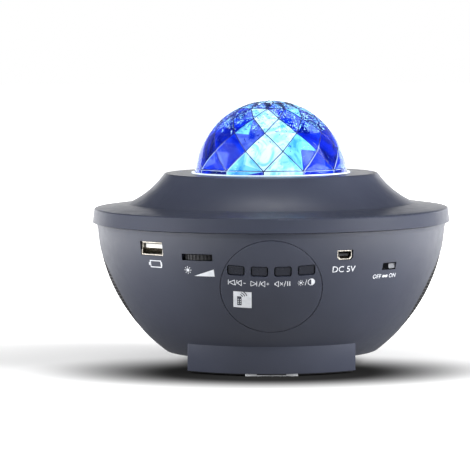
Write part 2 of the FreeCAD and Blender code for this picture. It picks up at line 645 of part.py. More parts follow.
def upper_shell():
    """The upper shell: flat land, concave flare, sloping shoulder and upright rim, with its posts."""
    slope = "(shoulder_height-crease_height)/(crease_radius-shoulder_radius)"
    edge_radius = "land_edge_run/tan(flare_slope/2)"
    points = [
        ("land_hole", "land_height"), ("land_radius-land_edge_run", "land_height"),
        ("land_radius+land_edge_run*cos(flare_slope)", "land_height-land_edge_run*sin(flare_slope)"),
        ("shoulder_radius", "shoulder_height"),
        ("crease_radius-crease_round", "crease_height+crease_round*" + slope),
        ("crease_radius", "crease_height-crease_round"), ("rim_radius", "rim_foot"),
        ("rim_inner", "rim_foot-rim_chamfer"), ("rim_inner", "crease_height-shell_wall"),
        ("shoulder_radius", "shoulder_height-shell_wall"), ("land_radius-shell_wall", "land_under"),
        ("land_hole", "land_under"),
    ]
    arcs = {1: (edge_radius, -1), 2: ("flare_arc", 1), 4: ("crease_round", -1),
            9: ("flare_arc+shell_wall", -1)}
    shell = turned("shell_skin", points, arcs)
    inside = turned("shell_volume", points[1:7] + [("rim_inner", "rim_foot-rim_chamfer"),
                                                   ("0", "rim_foot-rim_chamfer"),
                                                   ("0", "land_height")],
                    {0: arcs[1], 1: arcs[2], 3: arcs[4]})
    adds = []
    holes = []
    for index, (x, y) in enumerate(corner_spots()):
        name = "shell_post_%d" % index
        post = rod(name + "_full", "corner_post_radius", "land_height-corner_post_split",
                   (x, y, "corner_post_split"))
        top = rod(name + "_low", "corner_post_radius", "rim_foot-corner_post_split+rim_chamfer",
                  (x, y, "corner_post_split"))
        adds += [common(name, post, inside), top]
        holes.append(rod(name + "_bore", "screw_radius", "corner_screw_bite",
                         (x, y, "corner_post_split")))
    for index, (x, y) in enumerate(circle_spots("deck_post_circle", "0", 4)):
        name = "deck_post_%d" % index
        post = rod(name + "_full", "deck_post_radius", "land_height-deck_top", (x, y, "deck_top"))
        adds.append(common(name, post, inside))
        holes.append(rod(name + "_bore", "small_screw_radius", "screw_bite", (x, y, "deck_top")))
    for index, (x, y) in enumerate(circle_spots("keeper_screw_circle", "45", 4)):
        name = "keeper_boss_%d" % index
        adds.append(rod(name, "screw_head_radius", "dome_flange_thick", (x, y, "dome_flange_low")))
        bore_high = "dome_flange_thick+shell_wall/2"
        holes.append(rod(name + "_bore", "small_screw_radius", bore_high, (x, y, "dome_flange_low")))
    return node(cut("upper_shell", fuse("shell_with_posts", shell, *adds), *holes), "upper_shell")


def dome():
    """The dome that throws the stars, its clear ring, and the ring and screws that hold it."""
    inner = "dome_radius-dome_wall"
    points = [
        ("0", "dome_centre+dome_radius"), ("dome_radius", "dome_centre"), ("dome_radius", "land_under"),
        ("dome_flange_radius", "land_under"), ("dome_flange_radius", "dome_flange_low"),
        (inner, "dome_flange_low"), (inner, "dome_centre"), ("0", "dome_centre+" + inner),
    ]
    node(turned("dome_lens", points, {0: ("dome_radius", -1), 6: (inner, 1)}), "dome_lens")
    ring_high = "shell_wall+light_ring_proud"
    node(tube("dome_light_ring", "light_ring_radius", "light_ring_bore", ring_high,
              ("0", "0", "land_under")),
         "dome_light_ring")
    ring = tube("keeper_ring", "keeper_radius", "keeper_bore", "keeper_thick", ("0", "0", "keeper_low"))
    spots = circle_spots("keeper_screw_circle", "45", 4)
    holes = [rod("keeper_hole_%d" % index, "small_screw_radius", "keeper_thick", (x, y, "keeper_low"))
             for index, (x, y) in enumerate(spots)]
    node(cut("dome_keeper_ring", ring, *holes), "dome_keeper_ring")
    reach = "keeper_thick+dome_flange_thick+shell_wall/2"
    screws = [screw("keeper_screw_%d" % index, (x, y, "keeper_low"), reach, size=SMALL)
              for index, (x, y) in enumerate(spots)]
    node(group("dome_screws", *screws), "dome_screws")


def deck():
    """The deck inside the upper shell, with the holes for what stands on it and passes through it."""
    plate = rod("deck_plate", "deck_radius", "deck_thick", ("0", "0", "deck_height"))
    holes = [
        rod("deck_lamp_hole", "led_board_radius", "deck_thick", ("0", "0", "deck_height")),
        rod("deck_laser_hole", "laser_radius", "deck_thick", ("laser_x", "laser_y", "deck_height")),
        rod("deck_shaft_hole", "motor_shaft_radius+post_gap", "deck_thick",
            ("motor_x", "motor_y", "deck_height")),
    ]
    for index, (x, y) in enumerate(corner_spots()):
        radius = "corner_post_radius+post_gap"
        holes.append(rod("deck_corner_%d" % index, radius, "deck_thick", (x, y, "deck_height")))
    screws = []
    for index, (x, y) in enumerate(circle_spots("deck_post_circle", "0", 4)):
        holes.append(rod("deck_screw_hole_%d" % index, "small_screw_radius", "deck_thick",
                         (x, y, "deck_height")))
        reach = "deck_thick+screw_bite"
        screws.append(screw("deck_screw_%d" % index, (x, y, "deck_height"), reach, size=SMALL))
    for index, (x, y) in enumerate(motor_ears()):
        holes.append(rod("deck_ear_hole_%d" % index, "small_screw_radius", "deck_thick",
                         (x, y, "deck_height")))
    node(cut("optics_deck", plate, *holes), "optics_deck")
    node(group("deck_screws", *screws), "deck_screws")


def motor_ears():
    """The motor's two ears stand across the line from the axis to the motor."""
    along = ("motor_ear_spread*cos(motor_azimuth)", "motor_ear_spread*sin(motor_azimuth)")
    return [("motor_x+" + along[0], "motor_y+" + along[1]),
            ("motor_x-" + along[0], "motor_y-" + along[1])]


def lamp():
    """The coloured lamp: chips on a small board, a finned heat sink under it, and a collimator."""
    low = "(deck_height-sink_base)"
    base = rod("sink_plate", "sink_radius", "sink_base", ("0", "0", low))
    around = rod("sink_round", "sink_radius", "sink_fin_drop", ("0", "0", low + "-sink_fin_drop"))
    fins = []
    for index in range(-3, 4):
        middle = ("%d*sink_fin_pitch" % index, "0", low + "-sink_fin_drop/2")
        slab = block("fin_slab_%d" % (index + 3), ("sink_fin_thick", "sink_radius*2", "sink_fin_drop"),
                     middle)
        fins.append(common("fin_%d" % (index + 3), slab, around))
    node(fuse("led_heat_sink", base, *fins), "led_heat_sink")
    node(rod("led_board", "led_board_radius", "board_thick", ("0", "0", "deck_height")), "led_board")
    chip_middle = "deck_height+board_thick+led_high/2"
    chips = [block("led_chip_%d" % index, ("led_side", "led_side", "led_high"), (x, y, chip_middle))
             for index, (x, y) in enumerate((sx + "led_spread", sy + "led_spread") for sx in ("", "-")
                                            for sy in ("", "-"))]
    node(group("led_chips", *chips), "led_chips")
    low = "(led_top+collimator_gap)"
    funnel = taper("collimator_cone", "collimator_foot", "collimator_top", "collimator_high",
                   ("0", "0", low))
    legs = [rod("collimator_leg_%d" % index, "collimator_leg_radius", "led_high+collimator_gap*2",
                (x, y, "deck_height+board_thick"))
            for index, (x, y) in enumerate(circle_spots("collimator_leg_circle", "0", 4))]
    node(fuse("led_collimator", funnel, *legs), "led_collimator")


def toothed(name, teeth, bore, at, yaw):
    """A spur gear with straight flanks and a bore. Its first tooth points along +X before the turn by yaw."""
    pitch = "(%s*gear_module/2)" % teeth
    tip = "(%s+gear_module)" % pitch
    root = "(%s-gear_module*1.2)" % pitch
    inside = "(%s-gear_module/2)" % root
    half = "(gear_module*pi/4-gear_backlash/2)"
    lean = "(gear_module*tan(20))"
    body = doc.addObject("PartDesign::Body", name + "_blank")
    disc = body.newObject("Sketcher::SketchObject", name + "_disc")
    disc.AttachmentSupport = [(plane(body, "XY_Plane"), "")]
    disc.MapMode = "FlatFace"
    centre = FreeCAD.Vector(0, 0, 0)
    for index, radius in enumerate((root, bore)):
        disc.addGeometry(Part.Circle(centre, FreeCAD.Vector(0, 0, 1), number(radius)), False)
        disc.addConstraint(Sketcher.Constraint("Coincident", index, 3, -1, 1))
        row = disc.addConstraint(Sketcher.Constraint("Radius", index, number(radius)))
        disc.setExpression("Constraints[%d]" % row, tie(radius))
    blank = body.newObject("PartDesign::Pad", name + "_disc_pad")
    blank.Profile = (disc, [""])
    bind(blank, Length="gear_thick")
    points = [
        (inside, "-(%s+%s)" % (half, lean)), (tip, "-(%s-%s)" % (half, lean)),
        (tip, "%s-%s" % (half, lean)), (inside, "%s+%s" % (half, lean)),
    ]
    tooth = body.newObject("PartDesign::Pad", name + "_tooth_pad")
    tooth.Profile = (outline(body, name + "_tooth", points, {}, "XY_Plane"), [""])
    bind(tooth, Length="gear_thick")
    doc.recompute()
    pattern = body.newObject("PartDesign::PolarPattern", name + "_pattern")
    pattern.Originals = [tooth]
    pattern.Axis = (plane(body, "Z_Axis"), [""])
    pattern.Angle = 360
    bind(pattern, Occurrences=teeth)
    body.Tip = pattern
    return place(body, at, yaw)


def ripple_drive():
    """The rippled disc in its ring gear, the ring it runs in, and the geared motor that turns it."""
    node(tube("rotor_cradle", "cradle_radius", "cradle_bore", "cradle_high", ("0", "0", "deck_top")),
         "rotor_cradle")
    to_motor = "(motor_azimuth-90)"
    ring = toothed("ripple_ring", "gear_teeth", "ripple_radius", ("0", "0", "gear_low"),
                   to_motor + "+180/gear_teeth")
    skirt = tube("ripple_skirt", "skirt_radius", "ripple_radius", "skirt_drop+gear_thick/2",
                 ("0", "0", "gear_low-skirt_drop"))
    node(fuse("ripple_gear", ring, skirt), "ripple_gear")
    node(rod("ripple_lens", "ripple_radius", "ripple_thick", ("0", "0", "gear_top-ripple_thick")),
         "ripple_lens")
    spot = ("motor_x", "motor_y")
    pinion = toothed("pinion", "pinion_teeth", "motor_shaft_radius", spot + ("gear_low",),
                     to_motor + "+180")
    node(pinion, "motor_pinion")
    low = "deck_height-motor_shaft_reach"
    node(rod("motor_shaft", "motor_shaft_radius", "gear_top-(%s)" % low, spot + (low,)), "motor_shaft")
    can = rod("motor_can", "motor_radius", "motor_high", spot + ("deck_height-motor_high",))
    ears = []
    holes = [rod("motor_bore", "motor_shaft_radius+motor_shaft_play", "motor_shaft_reach+slide_gap",
                 spot + (low + "-slide_gap",))]
    screws = []
    ear_low = "deck_height-motor_ear_thick"
    bridge = block("motor_bridge", ("motor_ear_spread*2", "motor_ear_radius*2", "motor_ear_thick"),
                   ("0", "0", "0"))
    ears.append(place(group("motor_bridge_set", bridge), spot + ("deck_height-motor_ear_thick/2",),
                      "motor_azimuth"))
    for index, (x, y) in enumerate(motor_ears()):
        ears.append(rod("motor_ear_%d" % index, "motor_ear_radius", "motor_ear_thick", (x, y, ear_low)))
        holes.append(rod("motor_ear_hole_%d" % index, "small_screw_radius", "motor_ear_thick",
                         (x, y, ear_low)))
        screws.append(screw("motor_screw_%d" % index, (x, y, ear_low), "motor_ear_thick+deck_thick+1",
                            size=SMALL))
    node(cut("gear_motor", fuse("motor_with_ears", can, *ears), *holes), "gear_motor")
    node(group("motor_screws", *screws), "motor_screws")


def laser():
    """The green star laser: its barrel in a collar on the deck, and the grating that splits its beam."""
    spot = ("laser_x", "laser_y")
    low = "deck_top+laser_rise-laser_high"
    node(rod("laser_module", "laser_radius", "laser_high", spot + (low,)), "laser_module")
    node(tube("laser_holder", "laser_radius+laser_collar", "laser_radius", "laser_collar_high",
              spot + ("deck_top",)),
         "laser_holder")
    node(rod("laser_grating", "laser_radius", "grating_thick", spot + ("deck_top+laser_rise",)),
         "laser_grating")


def button_spots():
    return [("%s*button_pitch" % step, "button_row") for step in ("-1.5", "-0.5", "0.5", "1.5")]


def panel_post_spots():
    return [("panel_post_spread", "panel_post_level"), ("-panel_post_spread", "panel_post_level")]


def control_panel():
    """The round panel, cut from the same curve as the bowl, with its four buttons and their board."""
    disc = seated("panel_disc_set", "0", "panel_height", PANEL_TILT,
                  rod("panel_disc", "panel_radius", "speaker_seat", ("0", "-bowl_wall", "0"), "y"))
    flange = seated("panel_flange_set", "0", "panel_height", PANEL_TILT,
                    rod("panel_flange_rod", "panel_radius+panel_flange", "speaker_seat*2",
                        ("0", "-bowl_wall", "0"), "y"))
    face_plate = common("panel_face", disc, skin("panel_face_skin", "0", "panel_back"))
    rear_plate = common("panel_rear", flange, skin("panel_rear_skin", "bowl_wall", "panel_back"))
    posts = []
    bores = []
    screws = []
    for index, (x, z) in enumerate(panel_post_spots()):
        low = "(bowl_wall+panel_flange_thick/2)"
        posts.append(rod("panel_post_%d" % index, "panel_post_radius", "button_board_depth-" + low,
                         (x, low, z), "y"))
        start = "(button_board_depth-screw_bite)"
        bores.append(rod("panel_bore_%d" % index, "small_screw_radius", "screw_bite", (x, start, z), "y"))
        screws.append(rear_screw("button_board_screw_%d" % index,
                                 (x, "button_board_depth+board_thick", z),
                                 "board_thick+screw_bite-slide_gap"))
    holes = []
    for index, (x, z) in enumerate(button_spots()):
        wide = "button_wide+button_gap*2"
        high = "button_high+button_gap*2"
        holes.append(rounded("button_hole_%d" % index, wide, high, "speaker_seat*2",
                             "(button_corner+button_gap)", (x, "-bowl_wall", z)))
    plate = fuse("panel_plate", face_plate, rear_plate,
                 seated("panel_posts", "0", "panel_height", PANEL_TILT, *posts))
    panel_cut = seated("panel_cuts", "0", "panel_height", PANEL_TILT, *(bores + holes))
    node(cut("control_panel", plate, panel_cut), "control_panel")
    cap_skin = skin("button_cap_skin", "button_depth", "button_rim_depth+button_rim_thick")
    rim_skin = skin("button_rim_skin", "button_rim_depth", "button_rim_depth+button_rim_thick")
    for name, (x, z) in zip(BUTTONS, button_spots()):
        cap = rounded(name + "_cap_body", "button_wide", "button_high", "speaker_seat", "button_corner",
                      (x, "-bowl_wall", z))
        rim = rounded(name + "_rim_body", "button_wide+button_rim*2", "button_high+button_rim*2",
                      "speaker_seat",
                      "button_corner", (x, "-bowl_wall", z))
        stem = box(name + "_stem_body",
                   ("button_stem_side", "stem_end-button_rim_depth-button_rim_thick/2",
                                         "button_stem_side"),
                   (x + "-button_stem_side/2", "button_rim_depth+button_rim_thick/2",
                    z + "-button_stem_side/2"))
        placed = [seated(name + tail, "0", "panel_height", PANEL_TILT, piece)
                  for tail, piece in (("_cap_set", cap), ("_rim_set", rim), ("_stem_set", stem))]
        node(fuse(name, common(name + "_cap", placed[0], cap_skin),
                  common(name + "_rim", placed[1], rim_skin),
                  placed[2]), name)
    board = box("button_board_blank", ("button_board_wide", "board_thick",
                                       "button_board_top-button_board_foot"),
                ("-button_board_wide/2", "button_board_depth", "button_board_foot"))
    board_holes = [rod("button_board_hole_%d" % index, "small_screw_radius", "board_thick",
                       (x, "button_board_depth", z), "y") for index, (x,
                                                                      z) in enumerate(panel_post_spots())]
    node(face(cut("button_board", board, *board_holes), "0", "panel_height", PANEL_TILT), "button_board")
    node(seated("button_board_screws", "0", "panel_height", PANEL_TILT, *screws), "button_board_screws")
    switches = [box("tact_%d" % index, ("switch_side*0.7", "switch_deep", "switch_side"),
                    (x + "-switch_side*0.35", "button_board_depth-switch_deep", z + "-switch_side/2"))
                for index, (x, z) in enumerate(button_spots())]
    node(seated("button_switches", "0", "panel_height", PANEL_TILT, *switches), "button_switches")
    eye = box("receiver_body", ("receiver_wide", "receiver_deep", "receiver_high"),
              ("-receiver_wide/2", "button_board_depth-receiver_deep",
               "panel_post_level-receiver_high/2"))
    node(seated("remote_receiver", "0", "panel_height", PANEL_TILT, eye), "remote_receiver")


def rear_screw(name, at, reach):
    """A small screw driven towards -Y: its head's underside at a point."""
    x, depth, z = at
    head = rod(name + "_head", "small_screw_head", "screw_head_high", at, "y")
    shank = rod(name + "_shank", "small_screw_radius", reach, (x, "(%s)-(%s)" % (depth, reach), z), "y")
    return fuse(name, head, shank)


def socket_prism(name, wide, high, deep, start):
    """A bar along +Y with two cut lower corners, as the small socket's mouth has."""
    half = "((%s)/2)" % wide
    top = "((%s)/2)" % high
    points = [("-" + half, top), ("-" + half, "-" + top + "+dc_chamfer"),
              ("-" + half + "+dc_chamfer", "-" + top),
              (half + "-dc_chamfer", "-" + top), (half, "-" + top + "+dc_chamfer"), (half, top)]
    body = padded(name, points, deep, role="XZ_Plane")
    doc.getObject(name + "_pad").Reversed = True
    return place(body, ("0", start, "0"))


def sockets():
    """The two sockets on their boards: folded shells, each with its tongue inside."""
    shell = block("usb_shell", ("usb_wide", "usb_deep", "usb_high"), ("0", "socket_sink+usb_deep/2", "0"))
    space = block("usb_space", ("usb_wide-socket_sheet*2", "usb_deep-socket_sheet",
                                "usb_high-socket_sheet*2"),
                  ("0", "socket_sink+(usb_deep-socket_sheet)/2", "0"))
    foot = "(port_board_top-usb_height)"
    legs = [box("usb_leg_%d" % index, ("socket_sheet*2", "usb_deep/3", "-usb_high/2-" + foot),
                (x, "socket_sink+usb_deep/3", foot))
            for index, x in enumerate(("-usb_wide/2", "usb_wide/2-socket_sheet*2"))]
    whole = cut("usb_socket", fuse("usb_shell_set", shell, *legs), space)
    node(face(whole, "usb_azimuth", "usb_height"), "usb_socket")
    tongue = block("usb_tongue_bar", ("usb_tongue_wide", "usb_deep-socket_sheet-usb_tongue_sink",
                                      "usb_tongue_high"),
                   ("0", "socket_sink+(usb_deep-socket_sheet+usb_tongue_sink)/2", "usb_tongue_rise"))
    node(seated("usb_tongue", "usb_azimuth", "usb_height", "0", tongue), "usb_tongue")
    shell = socket_prism("dc_shell", "dc_wide", "dc_high", "dc_deep", "socket_sink")
    space = socket_prism("dc_space", "dc_wide-socket_sheet*2", "dc_high-socket_sheet*2",
                         "dc_deep-socket_sheet",
                         "socket_sink")
    foot = "(port_board_top-dc_height)"
    legs = [box("dc_leg_%d" % index, ("socket_sheet*2", "dc_deep/3", "-dc_high/3-" + foot),
                (x, "socket_sink+dc_deep/3", foot))
            for index, x in enumerate(("-dc_wide/2", "dc_wide/2-socket_sheet*2"))]
    whole = cut("dc_socket", fuse("dc_shell_set", shell, *legs), space)
    node(face(whole, "dc_azimuth", "dc_height"), "dc_socket")
    tongue = block("dc_tongue_bar", ("dc_tongue_wide", "dc_deep-socket_sheet*4", "dc_tongue_high"),
                   ("0", "socket_sink+dc_deep/2+socket_sheet", "0"))
    node(seated("dc_tongue", "dc_azimuth", "dc_height", "0", tongue), "dc_tongue")


def thumbwheel():
    """The ribbed brightness wheel on the potentiometer's shaft."""
    disc = rod("wheel_disc", "wheel_radius", "wheel_thick", ("0", "wheel_depth", "-wheel_thick/2"))
    notch = Part.makeCylinder(number("wheel_notch"), number("wheel_thick"))
    copies = []
    count = int(number("wheel_notches"))
    for index in range(count):
        angle = 2 * math.pi * index / count
        out = number("wheel_radius")
        spot = FreeCAD.Vector(out * math.sin(angle), number("wheel_depth") - out * math.cos(angle),
                              -number("wheel_thick") / 2)
        copies.append(notch.translated(spot))
    notches = doc.addObject("Part::Feature", "wheel_notch_ring")
    notches.Shape = Part.makeCompound(copies)
    bore = rod("wheel_bore", "pot_shaft_radius+pot_shaft_play", "wheel_thick",
               ("0", "wheel_depth", "-wheel_thick/2"))
    node(face(cut("brightness_wheel", disc, notches, bore), "wheel_azimuth", "wheel_height"),
         "brightness_wheel")
    shaft = rod("pot_shaft", "pot_shaft_radius", "wheel_thick/2+pot_low",
                ("0", "wheel_depth", "-wheel_thick/2"))
    long = "(wheel_radius+pot_side/2+pot_gap+pot_leg)"
    case = box("pot_case", ("pot_side", long, "pot_high"),
               ("-pot_side/2", "wheel_depth-pot_side/2", "pot_low"))
    foot = "(port_board_top-wheel_height)"
    leg = box("pot_leg_bar", ("pot_side", "pot_leg", "pot_low-" + foot),
              ("-pot_side/2", "wheel_depth-pot_side/2+%s-pot_leg" % long, foot))
    node(seated("brightness_potentiometer", "wheel_azimuth", "wheel_height", "0",
                fuse("pot_whole", shaft, case, leg)), "brightness_potentiometer")


def slide_switch():
    """The power switch under its board, with the slider resting at its right end."""
    level = "(port_board_height-power_height-power_body_high/2)"
    body = block("power_case", ("power_body_wide", "power_body_deep", "power_body_high"),
                 ("0", "power_body_depth+power_body_deep/2", level))
    cavity = block("power_cavity", ("power_base_wide+power_travel+slide_gap*2",
                                    "power_base_thick+slide_gap*2",
                                    "power_base_high+slide_gap*2"),
                   ("0", "power_body_depth+power_body_face+slide_gap+power_base_thick/2", "0"))
    mouth = block("power_mouth", ("power_knob_wide+power_travel+slide_gap*2", "power_body_deep/2",
                                  "power_knob_high-slide_gap"), ("0", "power_body_depth", "0"))
    node(face(cut("power_switch_body", body, cavity, mouth), "power_azimuth", "power_height"),
         "power_switch_body")
    middle = "power_travel/2"
    base_depth = "(power_body_depth+power_body_face+slide_gap+power_base_thick/2)"
    base = block("slider_base", ("power_base_wide", "power_base_thick", "power_base_high"),
                 (middle, base_depth, "0"))
    knob = block("slider_knob", ("power_knob_wide", base_depth + "-power_knob_depth",
                                 "power_knob_high-slide_gap*3"),
                 (middle, "(%s+power_knob_depth)/2" % base_depth, "0"))
    node(seated("power_switch_slider", "power_azimuth", "power_height", "0",
                fuse("slider_whole", base, knob)),
         "power_switch_slider")


def port_boards():
    """The two small boards that carry what shows beside the panel, and their screws."""
    screws = []
    for side, sign, turn in (("left", "-", "-(port_board_from+port_board_span)-90"),
                             ("right", "", "port_board_from-90")):
        x, y = port_spot(sign)
        sector = tube(side + "_board_sector", "port_board_radius", "port_board_bore", "board_thick",
                      ("0", "0", "port_board_height"))
        wedge = bind(doc.addObject("Part::Cylinder", side + "_board_wedge"),
                     Radius="port_board_radius*1.1",
                     Height="board_thick", Angle="port_board_span")
        place(wedge, ("0", "0", "port_board_height"), turn)
        part = common(side + "_board_part", sector, wedge)
        holes = [rod(side + "_board_hole", "screw_radius", "board_thick", (x, y, "port_board_height"))]
        for index, (post_x, post_y) in enumerate(corner_spots()):
            holes.append(rod("%s_board_pass_%d" % (side, index), "corner_post_radius+post_gap",
                             "board_thick",
                             (post_x, post_y, "port_board_height")))
        node(cut(side + "_port_board", part, *holes), side + "_port_board")
        reach = "board_thick+screw_bite-slide_gap"
        screws.append(screw(side + "_port_screw", (x, y, "port_board_top"), reach, down=True))
    node(group("port_board_screws", *screws), "port_board_screws")


def speakers():
    """A mesh grille and a small loudspeaker on each side."""
    screws = []
    for side, azimuth in SPEAKERS:
        cover = rod(side + "_cover", "grille_radius", "speaker_seat", ("0", "-bowl_wall", "0"), "y")
        cover = seated(side + "_cover_set", azimuth, "speaker_height", SPEAKER_TILT, cover)
        layer = skin(side + "_grille_skin", "grille_depth", "grille_depth+grille_thick")
        node(common(side + "_speaker_grille", cover, layer), side + "_speaker_grille")
        flange = rod(side + "_flange", "speaker_frame_radius", "speaker_flange",
                     ("0", "speaker_seat", "0"), "y")
        back = "(speaker_seat+speaker_flange)"
        basket = taper(side + "_basket", "speaker_bore", "basket_back_radius", "basket_deep",
                       ("0", back, "0"), "y")
        mouth = rod(side + "_mouth", "speaker_bore-basket_wall", "speaker_flange",
                    ("0", "speaker_seat", "0"), "y")
        hollow = taper(side + "_hollow", "speaker_bore-basket_wall", "basket_back_radius-basket_wall",
                       "basket_deep-basket_wall", ("0", back, "0"), "y")
        holes = []
        for index, (x, z) in enumerate(speaker_screw_spots()):
            holes.append(rod("%s_flange_hole_%d" % (side, index), "small_screw_radius", "speaker_flange",
                             (x, "speaker_seat", z), "y"))
            screws.append(seated("%s_speaker_screw_set_%d" % (side, index), azimuth, "speaker_height",
                                 SPEAKER_TILT,
                                 rear_screw("%s_speaker_screw_%d" % (side, index), (x, back, z),
                                            "speaker_flange+screw_bite-slide_gap")))
        frame = cut(side + "_speaker_frame", fuse(side + "_frame_solid", flange, basket), mouth, hollow,
                    *holes)
        node(face(frame, azimuth, "speaker_height", SPEAKER_TILT), side + "_speaker_frame")
        wide = "(speaker_bore-basket_wall*2)"
        narrow = "(basket_back_radius/2)"
        outer = taper(side + "_cone_outer", wide, narrow, "basket_deep", ("0", "speaker_seat", "0"), "y")
        inner = taper(side + "_cone_inner", wide + "-cone_wall", narrow + "-cone_wall",
                      "basket_deep-cone_wall",
                      ("0", "speaker_seat", "0"), "y")
        edge = tube(side + "_cone_edge", "speaker_bore-basket_wall", wide + "-cone_wall", "cone_wall",
                    ("0", "speaker_seat", "0"), "y")
        cone = fuse(side + "_cone_whole", cut(side + "_cone_cut", outer, inner), edge)
        node(seated(side + "_speaker_cone", azimuth, "speaker_height", SPEAKER_TILT, cone),
             side + "_speaker_cone")
        magnet = rod(side + "_magnet", "magnet_radius", "magnet_deep", ("0", back + "+basket_deep", "0"),
                     "y")
        node(seated(side + "_speaker_magnet", azimuth, "speaker_height", SPEAKER_TILT, magnet),
             side + "_speaker_magnet")
    node(group("speaker_screws", *screws), "speaker_screws")


def main_board():
    """The main board on its posts, with its larger components."""
    wide = "main_board_wide"
    deep = "main_board_deep"
    plate = box("main_plate", (wide, deep, "board_thick"), ("-main_board_wide/2", "-main_board_deep/2",
                                                           "main_board_height"))
    holes = []
    screws = []
    for index, (x, y) in enumerate(main_spots()):
        holes.append(rod("main_hole_%d" % index, "screw_radius", "board_thick",
                         (x, y, "main_board_height")))
        screws.append(screw("main_screw_%d" % index, (x, y, "main_board_top"),
                            "board_thick+screw_bite-slide_gap",
                            down=True))
    node(cut("main_board", plate, *holes), "main_board")
    node(group("main_board_screws", *screws), "main_board_screws")
    chips = []
    for index, (x, y, size) in enumerate(CHIPS):
        spot = ("main_board_wide*%g-%g/2" % (x, size[0]), "main_board_deep*%g-%g/2" % (y, size[1]),
                "main_board_top")
        chips.append(box("chip_%d" % index, size, spot))
    for index, (x, y, radius, high) in enumerate(CANS):
        spot = ("main_board_wide*%g" % x, "main_board_deep*%g" % y, "main_board_top")
        chips.append(rod("can_%d" % index, radius, high, spot))
    node(group("board_components", *chips), "board_components")


def foot():
    """The foot under the bowl, its dark mat with two pale pads, and the screws that hold it."""
    def slab(name, radius, half_width, high, low):
        disc = rod(name + "_disc", radius, high, ("0", "0", low))
        middle = ("0", "0", "(%s)+(%s)/2" % (low, high))
        return common(name, disc, block(name + "_bar", ("2*(%s)" % half_width, "2*(%s)" % radius, high),
                                        middle))
    whole = slab("foot_blank", "foot_radius", "foot_half_width", "foot_top-foot_bottom", "foot_bottom")
    hollow = slab("foot_hollow", "foot_radius-foot_rim", "foot_half_width-foot_rim", "foot_recess",
                  "foot_bottom")
    holes = []
    screws = []
    for index, (x, y) in enumerate(foot_spots()):
        holes.append(rod("foot_hole_%d" % index, "screw_radius", "foot_top", (x, y, "foot_bottom")))
        reach = "bowl_floor-foot_floor+bowl_wall+screw_bite-slide_gap"
        screws.append(screw("foot_screw_%d" % index, (x, y, "foot_floor"), reach))
    for index, (x, y) in enumerate(corner_spots()):
        holes.append(rod("foot_well_%d" % index, "corner_well_radius", "foot_top", (x, y, "foot_bottom")))
    node(cut("base_foot", whole, hollow, filled_foot_bowl(), *holes), "base_foot")
    node(group("foot_screws", *screws), "foot_screws")
    pads = []
    slots = []
    for index, sign in enumerate(("-", "")):
        middle = ("0", "%s(foot_radius-pad_inset-pad_wide/2)" % sign, "foot_bottom/2")
        pads.append(block("pad_%d" % index, ("pad_long", "pad_wide", "foot_bottom"), middle))
        slots.append(block("pad_slot_%d" % index, ("pad_long", "pad_wide", "foot_bottom"), middle))
    layer = slab("mat_blank", "foot_radius-mat_inset", "foot_half_width-mat_inset",
                 "foot_bottom-mat_clear", "mat_clear")
    open_part = slab("mat_hollow", "foot_radius-foot_rim*2", "foot_half_width-foot_rim",
                     "foot_bottom-mat_clear",
                     "mat_clear")
    node(cut("foot_mat", layer, open_part, *slots), "foot_mat")
    node(group("foot_pads", *pads), "foot_pads")


def filled_foot_bowl():
    """The bowl's outer volume once more, so that the foot's top follows it."""
    points = [("0", "bowl_floor"), (bowl_r("bowl_floor"), "bowl_floor"),
              (bowl_r("seam_height"), "seam_height"), ("0", "seam_height")]
    return turned("foot_cutter", points, {1: ("bowl_arc", 1)})


def housing_screws():
    """The long screws that clamp the bowl to the upper shell, sunk in their posts."""
    reach = "corner_post_split-corner_screw_seat+corner_screw_bite-slide_gap"
    size = ("screw_radius", "screw_head_radius")
    screws = [screw("housing_screw_%d" % index, (x, y, "corner_screw_seat"), reach, size=size)
              for index, (x, y) in enumerate(corner_spots())]
    node(group("housing_screws", *screws), "housing_screws")


SPEAKERS = (("left", "-90"), ("right", "90"))
SPEAKER_TILT = bowl_tilt("speaker_height")
PANEL_TILT = bowl_tilt("panel_height")
BUTTONS = ("button_previous", "button_next", "button_play", "button_light")
# Components on the main board: place as shares of the board's width and depth, and their own sizes in mm.
CHIPS = ((-0.18, -0.12, (9, 9, 1.4)), (0.16, 0.18, (7, 5, 1.2)), (0.22, -0.22, (6, 12, 5)),
         (-0.3, 0.24, (14, 5, 6)))
CANS = ((-0.02, 0.26, 3.2, 8), (0.08, -0.06, 4.0, 9), (0.34, 0.05, 2.6, 6))

lower_bowl()
upper_shell()
dome()
deck()
lamp()
ripple_drive()
laser()
speakers()
control_panel()
sockets()
thumbwheel()
slide_switch()
port_boards()
main_board()
foot()
housing_screws()
doc.recompute()

for thing in doc.Objects:
    if "Invalid" in thing.State or "Error" in thing.State:
        raise RuntimeError("%s failed: %s" % (thing.Name, thing.State))
for thing in nodes:
    shape = thing.Shape
    if shape.isNull() or not shape.isValid() or not shape.Solids:
        raise RuntimeError("%s has no valid solid" % thing.Label)

os.makedirs("parts", exist_ok=True)
for thing in nodes:
    thing.Shape.exportStep("parts/%s.step" % thing.Label)
    print("%-26s %2d solids %10.1f mm3" % (thing.Label, len(thing.Shape.Solids), thing.Shape.Volume))
print(len(nodes), "nodes")
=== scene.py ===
# %% [markdown]
# # A star night light projector
#
# A round tabletop lamp: a bowl with a flared lid, a round panel with four buttons, sockets and a
# thumbwheel at the sides, a mesh grille over a loudspeaker on each flank, and a blue faceted dome
# that throws stars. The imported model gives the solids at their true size. This script adds the
# finishes, the facets, the woven-looking grilles, the printed marks and the studio round them.

# %% Load the frame and keep its box
import math
import random

import bmesh
import bpy
from mathutils import Matrix, Vector

